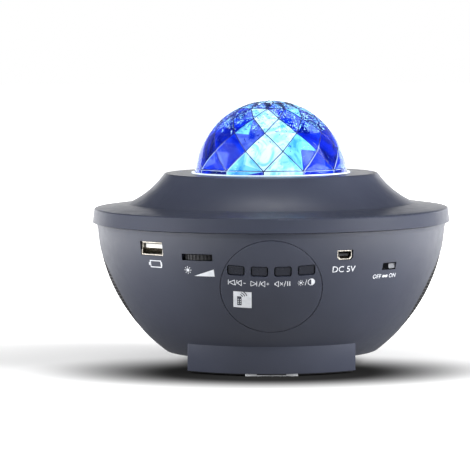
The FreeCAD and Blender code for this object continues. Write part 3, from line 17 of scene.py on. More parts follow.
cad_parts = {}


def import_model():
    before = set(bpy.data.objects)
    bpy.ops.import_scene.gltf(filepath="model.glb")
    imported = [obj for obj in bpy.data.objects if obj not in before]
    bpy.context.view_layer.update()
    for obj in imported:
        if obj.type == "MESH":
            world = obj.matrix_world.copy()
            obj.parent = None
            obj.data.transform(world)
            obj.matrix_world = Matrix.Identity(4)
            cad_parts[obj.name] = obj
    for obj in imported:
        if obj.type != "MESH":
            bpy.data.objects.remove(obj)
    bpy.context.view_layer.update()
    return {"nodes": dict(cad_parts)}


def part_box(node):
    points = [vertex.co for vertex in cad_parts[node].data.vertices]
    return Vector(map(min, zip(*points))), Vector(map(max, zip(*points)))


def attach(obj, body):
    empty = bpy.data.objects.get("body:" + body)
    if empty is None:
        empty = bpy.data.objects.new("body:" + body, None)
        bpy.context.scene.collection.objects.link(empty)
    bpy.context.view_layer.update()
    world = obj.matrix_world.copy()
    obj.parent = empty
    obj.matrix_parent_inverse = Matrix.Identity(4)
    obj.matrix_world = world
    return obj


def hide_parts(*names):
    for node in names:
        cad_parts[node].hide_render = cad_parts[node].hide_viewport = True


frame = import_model()

# %% [markdown]
# ## Shapes of the housing as formulas
#
# The bowl's side is an arc turned about Z, so one short formula gives its radius at any height.
# Whatever is printed on the bowl or let into it asks this formula where the surface is, and so
# it follows the curve with no fitting by eye.

# %% The bowl's curve
MM = 0.001
BOWL_RADIUS = 81.9 * MM
BOWL_ARC = 78.5 * MM
BOWL_ARC_HEIGHT = 69.5 * MM
PANEL_HEIGHT = 41.0 * MM
SPEAKER_HEIGHT = 33.0 * MM
SURFACE_STEPS = 8


def bowl_radius(height, depth=0.0):
    """Radius of the bowl at a height, at a depth under its outer surface."""
    return BOWL_RADIUS - BOWL_ARC + math.sqrt((BOWL_ARC - depth) ** 2 - (height - BOWL_ARC_HEIGHT) ** 2)


def bowl_tilt(height):
    """How far the surface faces downwards at a height, in radians."""
    return math.asin((BOWL_ARC_HEIGHT - height) / BOWL_ARC)


def on_surface(azimuth, height, across, up, depth):
    """A point given in a small flat drawing on the bowl, laid onto the curve at a depth."""
    turn = math.radians(azimuth)
    tilt = bowl_tilt(height)
    level = height + up * math.cos(tilt)
    radius = bowl_radius(level)
    angle = turn + across / radius
    out = radius - depth * math.cos(tilt)
    return Vector((out * math.sin(angle), -out * math.cos(angle), level + depth * math.sin(tilt)))


def face_point(height, side, across, up, depth):
    """A point of a flat face of the bowl, laid on the curve and pushed in along the face's own axis."""
    tilt = bowl_tilt(height)
    turn = Matrix.Rotation(math.radians(90 * side), 3, "Z")
    inward = turn @ Vector((0, math.cos(tilt), math.sin(tilt)))
    along = turn @ Vector((0, -math.sin(tilt), math.cos(tilt)))
    spot = turn @ Vector((across, -bowl_radius(height), height)) + along * up
    for _ in range(SURFACE_STEPS):
        spot += inward * (math.hypot(spot.x, spot.y) - bowl_radius(spot.z))
    return spot + inward * depth


def panel_point(across, up, depth):
    return face_point(PANEL_HEIGHT, 0, across, up, depth)


print("Bowl radius at the panel, mm:", round(bowl_radius(PANEL_HEIGHT) / MM, 2))

# %% [markdown]
# ## Finishes
#
# Moulded plastic is never one flat colour. Each finish here is a small node tree on object
# coordinates: a slow noise shifts the colour a little, a fine noise varies the gloss, and the
# finest one is the grain of the mould as a bump. Values that are the same all over stay on the
# shader's own sockets.

# %% A builder for moulded and metal finishes
finishes = {}


def link(tree, start, start_socket, end, end_socket):
    tree.links.new(start.outputs[start_socket], end.inputs[end_socket])


def noise(tree, coordinates, scale, detail=3.0):
    node = tree.nodes.new("ShaderNodeTexNoise")
    node.inputs["Scale"].default_value = scale
    node.inputs["Detail"].default_value = detail
    link(tree, coordinates, "Object", node, "Vector")
    return node


def spread(tree, source, low, high):
    """Turns a noise of about 0.3 to 0.7 into a value from low to high."""
    node = tree.nodes.new("ShaderNodeMapRange")
    node.inputs["From Min"].default_value = 0.3
    node.inputs["From Max"].default_value = 0.7
    node.inputs["To Min"].default_value = low
    node.inputs["To Max"].default_value = high
    link(tree, source, "Fac", node, "Value")
    return node


def new_material(name):
    """A named node material: its tree, its main shader and object coordinates."""
    material = bpy.data.materials.new(name)
    material.use_nodes = True
    finishes[name] = material
    tree = material.node_tree
    return tree, tree.nodes["Principled BSDF"], tree.nodes.new("ShaderNodeTexCoord")


def colour(tree, source, shader, stops):
    """Turns a noise into the shader's colour by two stops of position and colour."""
    ramp = tree.nodes.new("ShaderNodeValToRGB")
    for element, (position, shade) in zip(ramp.color_ramp.elements, stops):
        element.position = position
        element.color = (*shade, 1)
    link(tree, source, "Fac", ramp, "Fac")
    link(tree, ramp, "Color", shader, "Base Color")


def finish(name, dark, light, gloss=(0.4, 0.5), patch=25.0, grain=2500.0, bump=0.00004, **settings):
    """A finish whose colour wanders from dark to light and whose roughness wanders over gloss."""
    tree, shader, coordinates = new_material(name)
    colour(tree, noise(tree, coordinates, patch), shader, ((0.32, dark), (0.68, light)))
    fine = noise(tree, coordinates, patch * 9)
    link(tree, spread(tree, fine, *gloss), "Result", shader, "Roughness")
    relief = tree.nodes.new("ShaderNodeBump")
    relief.inputs["Distance"].default_value = bump
    relief.inputs["Strength"].default_value = 0.6
    link(tree, noise(tree, coordinates, grain, 2.0), "Fac", relief, "Height")
    link(tree, relief, "Normal", shader, "Normal")
    for socket, value in settings.items():
        shader.inputs[socket.replace("_", " ")].default_value = value


# %% The finishes of this lamp
finish("slate_plastic", (0.030, 0.034, 0.052), (0.038, 0.043, 0.064), (0.34, 0.40), Specular_IOR_Level=0.6)
finish("slate_button", (0.012, 0.014, 0.022), (0.018, 0.020, 0.030), (0.22, 0.30), bump=0.00002)
finish("black_plastic", (0.010, 0.010, 0.012), (0.018, 0.018, 0.021), (0.35, 0.5))
finish("ribbed_black", (0.014, 0.014, 0.016), (0.030, 0.030, 0.033), (0.4, 0.55), patch=90)
finish("knob_grey", (0.09, 0.095, 0.11), (0.14, 0.145, 0.16), (0.4, 0.5), patch=120)
finish("inner_black", (0.012, 0.012, 0.014), (0.022, 0.022, 0.025), (0.5, 0.65))
finish("natural_acetal", (0.70, 0.70, 0.66), (0.80, 0.80, 0.76), (0.3, 0.45), patch=60)
finish("socket_sheet", (0.42, 0.39, 0.34), (0.60, 0.57, 0.52), (0.16, 0.3), patch=140, Metallic=1.0)
finish("bright_steel", (0.50, 0.51, 0.53), (0.64, 0.65, 0.67), (0.22, 0.38), patch=120, Metallic=1.0)
finish("cast_fins", (0.60, 0.61, 0.63), (0.72, 0.73, 0.75), (0.35, 0.5), patch=80, Metallic=1.0)
finish("turned_brass", (0.60, 0.42, 0.16), (0.72, 0.52, 0.24), (0.2, 0.32), patch=100, Metallic=1.0)
finish("tongue_white", (0.74, 0.74, 0.71), (0.84, 0.84, 0.81), (0.3, 0.4), patch=200)
finish("mask_green", (0.008, 0.085, 0.035), (0.014, 0.12, 0.055), (0.25, 0.4), patch=70)
finish("lamp_resin", (0.80, 0.74, 0.30), (0.92, 0.88, 0.55), (0.1, 0.2), patch=300)
finish("mesh_black", (0.012, 0.012, 0.014), (0.028, 0.028, 0.032), (0.35, 0.5), patch=60, Metallic=0.4)
finish("cone_paper", (0.012, 0.012, 0.013), (0.024, 0.024, 0.025), (0.75, 0.9), patch=60, bump=0.00008)
finish("ferrite", (0.03, 0.03, 0.032), (0.05, 0.05, 0.052), (0.55, 0.7), patch=60, bump=0.00008)
finish("mat_rubber", (0.010, 0.010, 0.011), (0.018, 0.018, 0.019), (0.6, 0.75), patch=60, bump=0.00006)
finish("pad_rubber", (0.42, 0.43, 0.45), (0.52, 0.53, 0.55), (0.55, 0.7), patch=60, bump=0.00006)
finish("print_white", (0.60, 0.62, 0.66), (0.72, 0.74, 0.78), (0.5, 0.6), patch=400, bump=0.00001)
finish("print_dark", (0.035, 0.04, 0.055), (0.045, 0.05, 0.07), (0.5, 0.6), patch=400, bump=0.00001)
print(len(finishes), "finishes made")

# %% [markdown]
# ## Clear plastics
#
# The clear ring, the collimator and the dome's outer skin let light through. Here the collimator
# and the skin are clear: transmission stays a plain value on the shader, and only the gloss and a
# faint moulding ripple come from noise. The ring gets a pale finish with a faint glow and no
# transmission.


# %% Clear finishes
def clear(name, tint, gloss, index):
    finish(name, tint, tint, gloss, patch=40, grain=120, bump=0.00001, Transmission_Weight=1.0, IOR=index)


clear("dome_skin", (0.80, 0.90, 1.0), (0.0, 0.03), 1.08)
clear("clear_moulding", (0.90, 0.94, 0.98), (0.04, 0.10), 1.49)
finish("lit_ring", (0.62, 0.78, 0.92), (0.86, 0.94, 1.0), (0.2, 0.35), patch=160,
       Emission_Color=(0.75, 0.9, 1.0, 1), Emission_Strength=0.15)

# %% [markdown]
# ## The CAD nodes keep their shape and get a finish
#
# Most solids are right as they are. A table of node and finish is enough for them.

# %% Dress the CAD nodes
NODE_FINISH = {
    "slate_plastic": ["lower_bowl", "upper_shell", "control_panel", "base_foot"],
    "inner_black": ["dome_keeper_ring", "optics_deck", "rotor_cradle", "laser_holder", "left_speaker_frame",
                    "right_speaker_frame"],
    "natural_acetal": ["ripple_gear", "motor_pinion"],
    "bright_steel": ["dome_screws", "deck_screws", "motor_screws", "speaker_screws", "button_board_screws",
                     "port_board_screws", "main_board_screws", "foot_screws", "housing_screws", "motor_shaft",
                     "gear_motor"],
    "cast_fins": ["led_heat_sink"],
    "mask_green": ["led_board", "button_board", "left_port_board", "right_port_board", "main_board"],
    "lamp_resin": ["led_chips"],
    "turned_brass": ["laser_module"],
    "clear_moulding": ["led_collimator", "ripple_lens", "laser_grating"],
    "lit_ring": ["dome_light_ring"],
    "cone_paper": ["left_speaker_cone", "right_speaker_cone"],
    "ferrite": ["left_speaker_magnet", "right_speaker_magnet"],
    "black_plastic": ["button_switches", "remote_receiver", "brightness_potentiometer", "power_switch_body",
                      "board_components", "dc_tongue"],
    "ribbed_black": ["brightness_wheel"],
    "knob_grey": ["power_switch_slider"],
    "socket_sheet": ["usb_socket", "dc_socket"],
    "tongue_white": ["usb_tongue"],
    "mat_rubber": ["foot_mat"],
    "pad_rubber": ["foot_pads"],
    "mesh_black": ["left_speaker_grille", "right_speaker_grille"],
    "slate_button": ["button_previous", "button_next", "button_play", "button_light"],
    "dome_skin": ["dome_lens"],
}
for name, members in NODE_FINISH.items():
    for member in members:
        node = frame["nodes"][member]
        node.data.materials.clear()
        node.data.materials.append(finishes[name])
print("Nodes dressed:", sum(len(members) for members in NODE_FINISH.values()))

# %% [markdown]
# ## Rounded copies of the foot and the panel
#
# A moulded edge is never razor sharp: a thin round catches a line of light. The solids have
# sharp edges, so the foot and the panel are copied, their doubles are merged, and a narrow
# Bevel modifier rounds every edge that turns by more than a set angle.

# %% Copies with rounded edges
EDGE_ANGLE = math.radians(32)


def add_object(name, mesh, material=None):
    made = bpy.data.objects.new(name, mesh)
    bpy.context.scene.collection.objects.link(made)
    if material:
        mesh.materials.append(finishes[material])
    return made


def mesh_object(name, mesh, material=None, sharp=None):
    """An object from a finished bmesh, smooth but for edges that turn by more than sharp."""
    data = bpy.data.meshes.new(name)
    mesh.to_mesh(data)
    mesh.free()
    made = add_object(name, data, material)
    if sharp:
        data.shade_smooth()
        data.set_sharp_from_angle(angle=sharp)
    return made


def frozen(made):
    """The same object with its modifiers applied, as a plain mesh."""
    graph = bpy.context.evaluated_depsgraph_get()
    mesh = bpy.data.meshes.new_from_object(made.evaluated_get(graph))
    made.modifiers.clear()
    made.data = mesh
    return made


def rounded_copy(node, width, segments=2):
    """A copy of a CAD node with narrow rounded edges, which stands for it."""
    made = add_object(node + "_rounded", frame["nodes"][node].data.copy())
    made.data.materials.clear()
    made.data.materials.append(frame["nodes"][node].data.materials[0])
    mesh = bmesh.new()
    mesh.from_mesh(made.data)
    bmesh.ops.remove_doubles(mesh, verts=mesh.verts, dist=0.002 * MM)
    bmesh.ops.dissolve_limit(mesh, angle_limit=math.radians(0.5), verts=mesh.verts, edges=mesh.edges,
                             delimit={"SEAM"})
    mesh.to_mesh(made.data)
    mesh.free()
    bevel = made.modifiers.new("edges", "BEVEL")
    bevel.width = width
    bevel.segments = segments
    bevel.limit_method = "ANGLE"
    bevel.angle_limit = EDGE_ANGLE
    frozen(made)
    made.data.shade_smooth()
    made.data.set_sharp_from_angle(angle=EDGE_ANGLE)
    return made


def hand_over(made, body, slot, *nodes):
    """Rides a finished piece on its body and lets it stand for CAD nodes; its slot is not used."""
    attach(made, body)
    if nodes:
        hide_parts(*nodes)
    return made


for node, width in {"base_foot": 0.35 * MM, "control_panel": 0.12 * MM}.items():
    made = hand_over(rounded_copy(node, width), "housing", "housing_plastic", node)
    print(made.name, len(made.data.polygons), "faces")


# %% [markdown]
# ## Camera
#
# The photograph was taken with a long lens from a little above the rim. Its ellipses gave the
# distance, the eye height and the focal length, and the object stands right of the middle.

# %% Camera at the photograph's place
EYE_DISTANCE = 1.379
EYE_HEIGHT = 0.1615
FOCAL_PIXELS = 2927.0
IMAGE_PIXELS = 470.0
SENSOR = 36.0
LOOK_DOWN = math.radians(4.20)
LOOK_LEFT = math.radians(0.707)
ROLL = math.radians(-0.26)

camera = bpy.data.objects.new("photo_camera", bpy.data.cameras.new("photo_camera"))
bpy.context.scene.collection.objects.link(camera)
camera.data.sensor_width = SENSOR
camera.data.lens = FOCAL_PIXELS / IMAGE_PIXELS * SENSOR
camera.location = (0, -EYE_DISTANCE, EYE_HEIGHT)
turn = Matrix.Rotation(LOOK_LEFT, 3, "Z") @ Matrix.Rotation(math.pi / 2 - LOOK_DOWN, 3, "X")
camera.rotation_euler = (turn @ Matrix.Rotation(ROLL, 3, "Z")).to_euler()
camera.data.clip_start = 0.01
bpy.context.scene.camera = camera
print("Lens in mm:", round(camera.data.lens, 1))

# %% [markdown]
# ## The faceted dome
#
# The real dome is clear acrylic: smooth outside and cut into twelve columns of diamond facets
# inside, so each facet throws its own patch of light. It is built here as three things: a thin
# smooth skin, a shell of facets inside it, and the bright and dark lines where facets meet.
# The rings of corners are staggered by half a step, which makes the diamonds.

# %% Sizes of the dome
DOME_RADIUS = 36.0 * MM
DOME_CENTRE = 87.9 * MM
DOME_SKIN = 0.15 * MM
FLANGE_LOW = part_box("dome_lens")[0].z
LAND_UNDER = 87.6 * MM
FLANGE_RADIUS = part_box("dome_lens")[1].x
FACET_COLUMNS = 12
FACET_RADIUS = 35.8 * MM
RING_ELEVATIONS = (6.5, 21.5, 36.5, 51.0, 64.0, 76.0)
FIRST_AZIMUTH = -5.3
FACET_STEP = 360.0 / FACET_COLUMNS


# %% The smooth skin
def lathe(name, outline, segments, material):
    """A closed solid turned about Z from a closed outline of radius and height."""
    mesh = bmesh.new()
    rings = []
    for radius, height in outline:
        if radius < 1e-7:
            rings.append([mesh.verts.new((0, 0, height))])
            continue
        angles = (2 * math.pi * index / segments for index in range(segments))
        rings.append([mesh.verts.new((radius * math.cos(a), radius * math.sin(a), height)) for a in angles])
    for ring, after in zip(rings, rings[1:] + rings[:1]):
        if len(ring) == 1 and len(after) == 1:
            continue
        for index in range(segments):
            corners = [ring[index % len(ring)], ring[(index + 1) % len(ring)],
                       after[(index + 1) % len(after)], after[index % len(after)]]
            mesh.faces.new(list(dict.fromkeys(corners)))
    bmesh.ops.recalc_face_normals(mesh, faces=mesh.faces)
    return mesh_object(name, mesh, material, EDGE_ANGLE)


def dome_arc(radius, steps, down):
    """Radius and height of points on the dome from its top to its foot, or back up."""
    angles = [math.pi / 2 * (1 - index / steps) for index in range(steps + 1)]
    points = [(radius * math.cos(a), DOME_CENTRE + radius * math.sin(a)) for a in angles]
    points[0] = (0.0, DOME_CENTRE + radius)
    return points if down else points[::-1]


DOME_STEPS = 40
DOME_SEGMENTS = 128
inner_radius = DOME_RADIUS - DOME_SKIN
skin_outline = dome_arc(DOME_RADIUS, DOME_STEPS, True)
skin_outline += [(DOME_RADIUS, LAND_UNDER), (FLANGE_RADIUS, LAND_UNDER), (FLANGE_RADIUS, FLANGE_LOW),
                 (inner_radius, FLANGE_LOW)]
skin_outline += dome_arc(inner_radius, DOME_STEPS, False)
dome_skin = lathe("dome_skin", skin_outline, DOME_SEGMENTS, "dome_skin")
print("Dome skin faces:", len(dome_skin.data.polygons))

# %% [markdown]
# ### Colours of the facets
#
# The lamp inside is white and turquoise where it shines straight through a facet and deep blue
# elsewhere. Each class of facet has its own finish: a marbled colour from a warped noise, and a
# plain glow on the shader's own emission sockets. The classes repeat three times round the
# dome, so every side has its bright patch.


# %% Facet finishes
def facet_finish(name, first, second, glow, strength, scale=70.0, warp=3.0):
    tree, shader, coordinates = new_material(name)
    marble = noise(tree, coordinates, scale, 4.0)
    marble.inputs["Distortion"].default_value = warp
    colour(tree, marble, shader, ((0.38, first), (0.62, second)))
    link(tree, spread(tree, noise(tree, coordinates, scale * 4), 0.08, 0.2), "Result", shader, "Roughness")
    shader.inputs["Emission Color"].default_value = (*glow, 1)
    shader.inputs["Emission Strength"].default_value = strength
    shader.inputs["Specular IOR Level"].default_value = 0.04


facet_finish("facet_white", (0.22, 0.58, 0.76), (0.74, 0.90, 0.95), (0.6, 0.9, 1.0), 0.05, 90)
facet_finish("facet_cyan", (0.10, 0.42, 0.72), (0.52, 0.82, 0.92), (0.2, 0.75, 0.9), 0.08, 80)
facet_finish("facet_turquoise", (0.03, 0.24, 0.66), (0.22, 0.60, 0.85), (0.1, 0.55, 0.8), 0.06, 80)
facet_finish("facet_lavender", (0.004, 0.02, 0.34), (0.12, 0.17, 0.58), (0.02, 0.05, 0.8), 0.06, 60)
facet_finish("facet_blue", (0.0, 0.004, 0.22), (0.001, 0.024, 0.48), (0.0, 0.012, 0.8), 0.10, 55)
facet_finish("facet_deep", (0.0, 0.002, 0.06), (0.0, 0.008, 0.30), (0.0, 0.008, 0.6), 0.04, 55)
facet_finish("facet_ink", (0.0, 0.0, 0.02), (0.0, 0.005, 0.10), (0.0, 0.0, 0.1), 0.02, 120)
FACET_LIMITS = (0.20, 0.28, 0.35, 0.42, 0.80)
FACETS = ["facet_white", "facet_cyan", "facet_turquoise", "facet_lavender", "facet_blue", "facet_deep"]


# %% The facet shell
def dome_point(azimuth, elevation, radius=FACET_RADIUS):
    a = math.radians(azimuth)
    e = math.radians(elevation)
    flat = radius * math.cos(e)
    return Vector((flat * math.sin(a), -flat * math.cos(a), DOME_CENTRE + radius * math.sin(e)))


def facet_class(middle, draw):
    """Picks a facet's colour from where it is, with a little chance."""
    azimuth = math.degrees(math.atan2(middle.x, -middle.y))
    height = (middle.z - DOME_CENTRE) / DOME_RADIUS
    folded = abs((azimuth - 2 + 60) % 120 - 60)
    score = folded / 60 + draw.uniform(-0.08, 0.08) + max(0.0, height - 0.75) * 0.4
    if height > 0.86:
        return draw.choice([0, 1, 2, 3, 4])
    for index, limit in enumerate(FACET_LIMITS):
        if score < limit:
            return index
    return 5


def facet_rings():
    """Corner points ring by ring, staggered, each with its azimuths."""
    rings = []
    for level, elevation in enumerate(RING_ELEVATIONS):
        start = FIRST_AZIMUTH + (FACET_STEP / 2 if level % 2 else 0)
        rings.append([dome_point(start + FACET_STEP * k, elevation) for k in range(FACET_COLUMNS)])
    return rings


def facet_polygons():
    """Corner lists of all facets: a band at the foot, triangles, diamonds and a cap."""
    rings = facet_rings()
    count = FACET_COLUMNS
    foot = [dome_point(FIRST_AZIMUTH + FACET_STEP * k, 0.0) for k in range(count)]
    polygons = []
    for k in range(count):
        after = (k + 1) % count
        polygons.append([foot[k], foot[after], rings[0][after], rings[0][k]])
        polygons.append([rings[0][k], rings[0][after], rings[1][k]])
    for level in range(len(rings) - 2):
        low, middle, high = rings[level:level + 3]
        for k in range(count):
            if level % 2 == 0:
                left, right = middle[k - 1], middle[k]
            else:
                left, right = middle[k], middle[(k + 1) % count]
            polygons.append([low[k], right, high[k], left])
    last, top = rings[-2], rings[-1]
    odd_last = (len(rings) - 2) % 2
    pole = dome_point(0, 90)
    for k in range(count):
        near = top[k] if not odd_last else top[(k + 1) % count]
        polygons.append([last[k], last[(k + 1) % count], near])
        polygons.append([top[k], top[(k + 1) % count], pole])
    return polygons


def on_sphere(point, radius=FACET_RADIUS):
    """The same direction from the dome's middle, at a given radius."""
    centre = Vector((0, 0, DOME_CENTRE))
    return centre + (point - centre).normalized() * radius


def build_facets():
    """The coloured shell: each facet is split about its middle and swells to meet the skin."""
    draw = random.Random(11)
    mesh = bmesh.new()
    for polygon in facet_polygons():
        middle = sum(polygon, Vector()) / len(polygon)
        main = facet_class(middle, draw)
        slant = (polygon[0] - polygon[len(polygon) // 2]) * draw.uniform(-0.15, 0.15)
        tip = on_sphere(middle + slant)
        for index, start in enumerate(polygon):
            end = polygon[(index + 1) % len(polygon)]
            face = mesh.faces.new([mesh.verts.new(point) for point in (start, end, tip)])
            face.material_index = min(5, max(0, main + draw.choice((-1, 0, 0, 0, 0, 1))))
    bmesh.ops.remove_doubles(mesh, verts=mesh.verts, dist=0.01 * MM)
    bmesh.ops.subdivide_edges(mesh, edges=mesh.edges, cuts=4, use_grid_fill=True)
    bmesh.ops.triangulate(mesh, faces=[face for face in mesh.faces if len(face.verts) > 4])
    for vert in mesh.verts:
        vert.co = on_sphere(vert.co)
    rim = [edge for edge in mesh.edges if edge.is_boundary]
    bmesh.ops.holes_fill(mesh, edges=rim, sides=0)
    bmesh.ops.recalc_face_normals(mesh, faces=mesh.faces)
    made = mesh_object("dome_facets", mesh, sharp=EDGE_ANGLE)
    for name in FACETS:
        made.data.materials.append(finishes[name])
    return made


dome_facets = build_facets()
print("Facets:", len(dome_facets.data.polygons))

# %% [markdown]
# ### Lines between the facets
#
# Where two facets meet, the edge shows as a bright line with a dark one beside it. The bright line
# is a painted highlight with a faint glow of its own. They follow the edges of the facet mesh, so
# Geometry Nodes make them: Mesh to Curve takes the edges and Curve to Mesh gives them a round
# section. One tree serves both kinds, with the width as input.

# %% A tree that lays a rod along every edge
NODES = "GeometryNode"


def new_tree(name, inputs):
    """An empty geometry tree with named number inputs."""
    tree = bpy.data.node_groups.new(name, "GeometryNodeTree")
    tree.interface.new_socket("Geometry", in_out="INPUT", socket_type="NodeSocketGeometry")
    tree.interface.new_socket("Geometry", in_out="OUTPUT", socket_type="NodeSocketGeometry")
    for label, kind, value in inputs:
        socket = tree.interface.new_socket(label, in_out="INPUT", socket_type=kind)
        if value is not None:
            socket.default_value = value
    return tree, tree.nodes.new("NodeGroupInput"), tree.nodes.new("NodeGroupOutput")


def add_node(tree, kind, values=(), **settings):
    node = tree.nodes.new(kind)
    for key, value in settings.items():
        setattr(node, key, value)
    for key, value in dict(values).items():
        node.inputs[key].default_value = value
    return node


def join(tree, *rows):
    """Several links, each given as node, output, node and input."""
    for row in rows:
        link(tree, *row)


def end_tree(tree, start, end, last, socket, weld=None):
    """Ends a tree: plain geometry, welded if a distance is given, then its finish."""
    for kind in ["RealizeInstances"] + ["MergeByDistance"] * bool(weld) + ["SetMaterial"]:
        node = add_node(tree, NODES + kind, {"Distance": weld} if kind == "MergeByDistance" else ())
        link(tree, last, socket, node, "Geometry")
        last, socket = node, "Geometry"
    join(tree, (start, "Finish", last, "Material"), (last, "Geometry", end, "Geometry"))
    return tree


def run_tree(made, tree, values):
    """Runs a tree on an object with inputs set by identifier, and keeps the result as a mesh."""
    modifier = made.modifiers.new(tree.name, "NODES")
    modifier.node_group = tree
    for item in tree.interface.items_tree:
        if item.in_out == "INPUT" and item.name in values:
            modifier[item.identifier] = values[item.name]
    frozen(made)
    return made


def edge_rod_tree():
    tree, start, end = new_tree("rods_on_edges", [
        ("Radius", "NodeSocketFloat", 0.0001), ("Sides", "NodeSocketInt", 6),
        ("Finish", "NodeSocketMaterial", None)])
    path = add_node(tree, NODES + "MeshToCurve")
    section = add_node(tree, NODES + "CurvePrimitiveCircle")
    sweep = add_node(tree, NODES + "CurveToMesh")
    sweep.inputs["Fill Caps"].default_value = True
    join(tree, (start, "Geometry", path, "Mesh"), (start, "Radius", section, "Radius"),
         (start, "Sides", section, "Resolution"), (path, "Curve", sweep, "Curve"),
         (section, "Curve", sweep, "Profile Curve"))
    return end_tree(tree, start, end, sweep, "Mesh")


WIRE_STEPS = 8


def facet_wire(name, polygons, out, shift):
    """The facets' edges alone as arcs on the sphere, pushed outwards and turned a little aside."""
    pairs = set()
    for polygon in polygons:
        keys = [tuple(round(value, 7) for value in point) for point in polygon]
        pairs.update(tuple(sorted(pair)) for pair in zip(keys, keys[1:] + keys[:1]))
    aside = Matrix.Rotation(math.radians(shift), 3, "Z")
    points = []
    edges = []
    for start, end in sorted(pairs):
        for step in range(WIRE_STEPS + 1):
            spot = Vector(start).lerp(Vector(end), step / WIRE_STEPS)
            spot = aside @ on_sphere(spot, FACET_RADIUS + out)
            points.append(spot - Vector((0, 0, abs(shift) * 0.3 * MM)))
            if step:
                edges.append((len(points) - 2, len(points) - 1))
    mesh = bpy.data.meshes.new(name)
    mesh.from_pydata(points, edges, [])
    return add_object(name, mesh)


# The bright edge line is a painted highlight: a pale colour with a faint glow.
finish("edge_light", (0.55, 0.75, 0.95), (0.90, 0.97, 1.0), (0.1, 0.2), patch=200,
       Emission_Color=(0.6, 0.8, 1.0, 1), Emission_Strength=0.12)
finish("edge_dark", (0.004, 0.006, 0.05), (0.02, 0.03, 0.14), (0.15, 0.3), patch=200)
ROD_TREE = edge_rod_tree()
EDGE_LINES = {"edge_dark": (0.27 * MM, -0.1 * MM, 0.0), "edge_light": (0.13 * MM, -0.04 * MM, 0.6)}
facet_lines = []
for name, (radius, out, shift) in EDGE_LINES.items():
    wire = facet_wire("dome_" + name, facet_polygons(), out, shift)
    run_tree(wire, ROD_TREE, {"Radius": radius, "Sides": 6, "Finish": finishes[name]})
    facet_lines.append(wire)
    print(wire.name, len(wire.data.polygons), "faces")

# %% [markdown]
# ### Glints
#
# High on the dome the far facets shine through the near ones as a crowd of small bright and dark
# chips. Points are scattered on the facet shell with a fixed seed, and each carries a thin
# three-sided chip. Five runs of one tree give five colours, each from a height of its own.


# %% A tree that scatters chips
def glint_tree():
    tree, start, end = new_tree("scattered_chips", [
        ("Density", "NodeSocketFloat", 1000.0), ("Size", "NodeSocketFloat", 0.001),
        ("Seed", "NodeSocketInt", 1), ("Lowest", "NodeSocketFloat", 0.1),
        ("Finish", "NodeSocketMaterial", None)])
    scatter = add_node(tree, NODES + "DistributePointsOnFaces")
    place = add_node(tree, NODES + "InputPosition")
    split = add_node(tree, "ShaderNodeSeparateXYZ")
    high = add_node(tree, "FunctionNodeCompare", data_type="FLOAT", operation="GREATER_THAN")
    chip = add_node(tree, NODES + "MeshCone", {"Vertices": 3, "Radius Top": 0.0, "Radius Bottom": 1.0,
                                               "Depth": 0.2})
    put = add_node(tree, NODES + "InstanceOnPoints")
    size = add_node(tree, "FunctionNodeRandomValue", data_type="FLOAT_VECTOR")
    size.inputs["Min"].default_value = (0.35, 0.9, 0.6)
    size.inputs["Max"].default_value = (1.0, 2.6, 1.0)
    scale = add_node(tree, "ShaderNodeVectorMath", operation="SCALE")
    spin = add_node(tree, "FunctionNodeRandomValue", data_type="FLOAT")
    spin.inputs[2].default_value = 0.0
    spin.inputs[3].default_value = 2 * math.pi
    axis = add_node(tree, "ShaderNodeCombineXYZ")
    rotate = add_node(tree, NODES + "RotateInstances")
    join(tree, (start, "Geometry", scatter, "Mesh"), (start, "Density", scatter, "Density"),
         (start, "Seed", scatter, "Seed"), (place, "Position", split, "Vector"), (split, "Z", high, 0),
         (start, "Lowest", high, 1), (high, "Result", scatter, "Selection"),
         (scatter, "Points", put, "Points"), (scatter, "Rotation", put, "Rotation"),
         (chip, "Mesh", put, "Instance"), (size, 0, scale, 0), (start, "Size", scale, "Scale"),
         (scale, 0, put, "Scale"), (start, "Seed", size, "Seed"), (spin, 1, axis, "Z"),
         (put, "Instances", rotate, "Instances"), (axis, "Vector", rotate, "Rotation"))
    return end_tree(tree, start, end, rotate, "Instances")


def open_shell(name):
    """The facet shell without its flat bottom, as ground for the chips."""
    mesh = bmesh.new()
    mesh.from_mesh(dome_facets.data)
    low = [face for face in mesh.faces if face.calc_center_median().z < DOME_CENTRE + 0.5 * MM]
    bmesh.ops.delete(mesh, geom=low, context="FACES")
    return mesh_object(name, mesh)


GLINT_TREE = glint_tree()
GLINTS = {
    "facet_white": (420000.0, 0.42 * MM, 3, 111.5 * MM), "facet_ink": (420000.0, 0.42 * MM, 5, 110.0 * MM),
    "facet_cyan": (230000.0, 0.6 * MM, 8, 109.5 * MM), "facet_deep": (60000.0, 0.6 * MM, 13, 104.0 * MM),
    "facet_lavender": (16000.0, 0.5 * MM, 21, 90.0 * MM),
}
for name, (density, size, seed, lowest) in GLINTS.items():
    chips = open_shell("dome_glints_" + name.split("_")[1])
    run_tree(chips, GLINT_TREE, {"Density": density, "Size": size, "Seed": seed, "Lowest": lowest,
                                 "Finish": finishes[name]})
    facet_lines.append(chips)
    print(chips.name, len(chips.data.polygons), "faces")

for made in [dome_facets] + facet_lines:
    hand_over(made, "housing", "dome_acrylic")
hand_over(dome_skin, "housing", "dome_acrylic", "dome_lens")

# %% [markdown]
# ## Speaker grilles
#
# Each flank has a round steel mesh over a loudspeaker. Hundreds of holes are a job for Geometry
# Nodes: a grid of points in every second row shifted makes a honeycomb, each point carries one
# ring-shaped cell, and a last step bends the flat sheet onto the bowl by the bowl's own formula.

# %% Sizes of a grille
GRILLE_RADIUS = 23.3 * MM
GRILLE_DEPTH = 0.15 * MM
GRILLE_THICK = 0.9 * MM
MESH_PITCH = 1.9 * MM
MESH_BAR = 0.62 * MM
GRILLE_BORDER = 0.9 * MM
BORDER_SIDES = 96


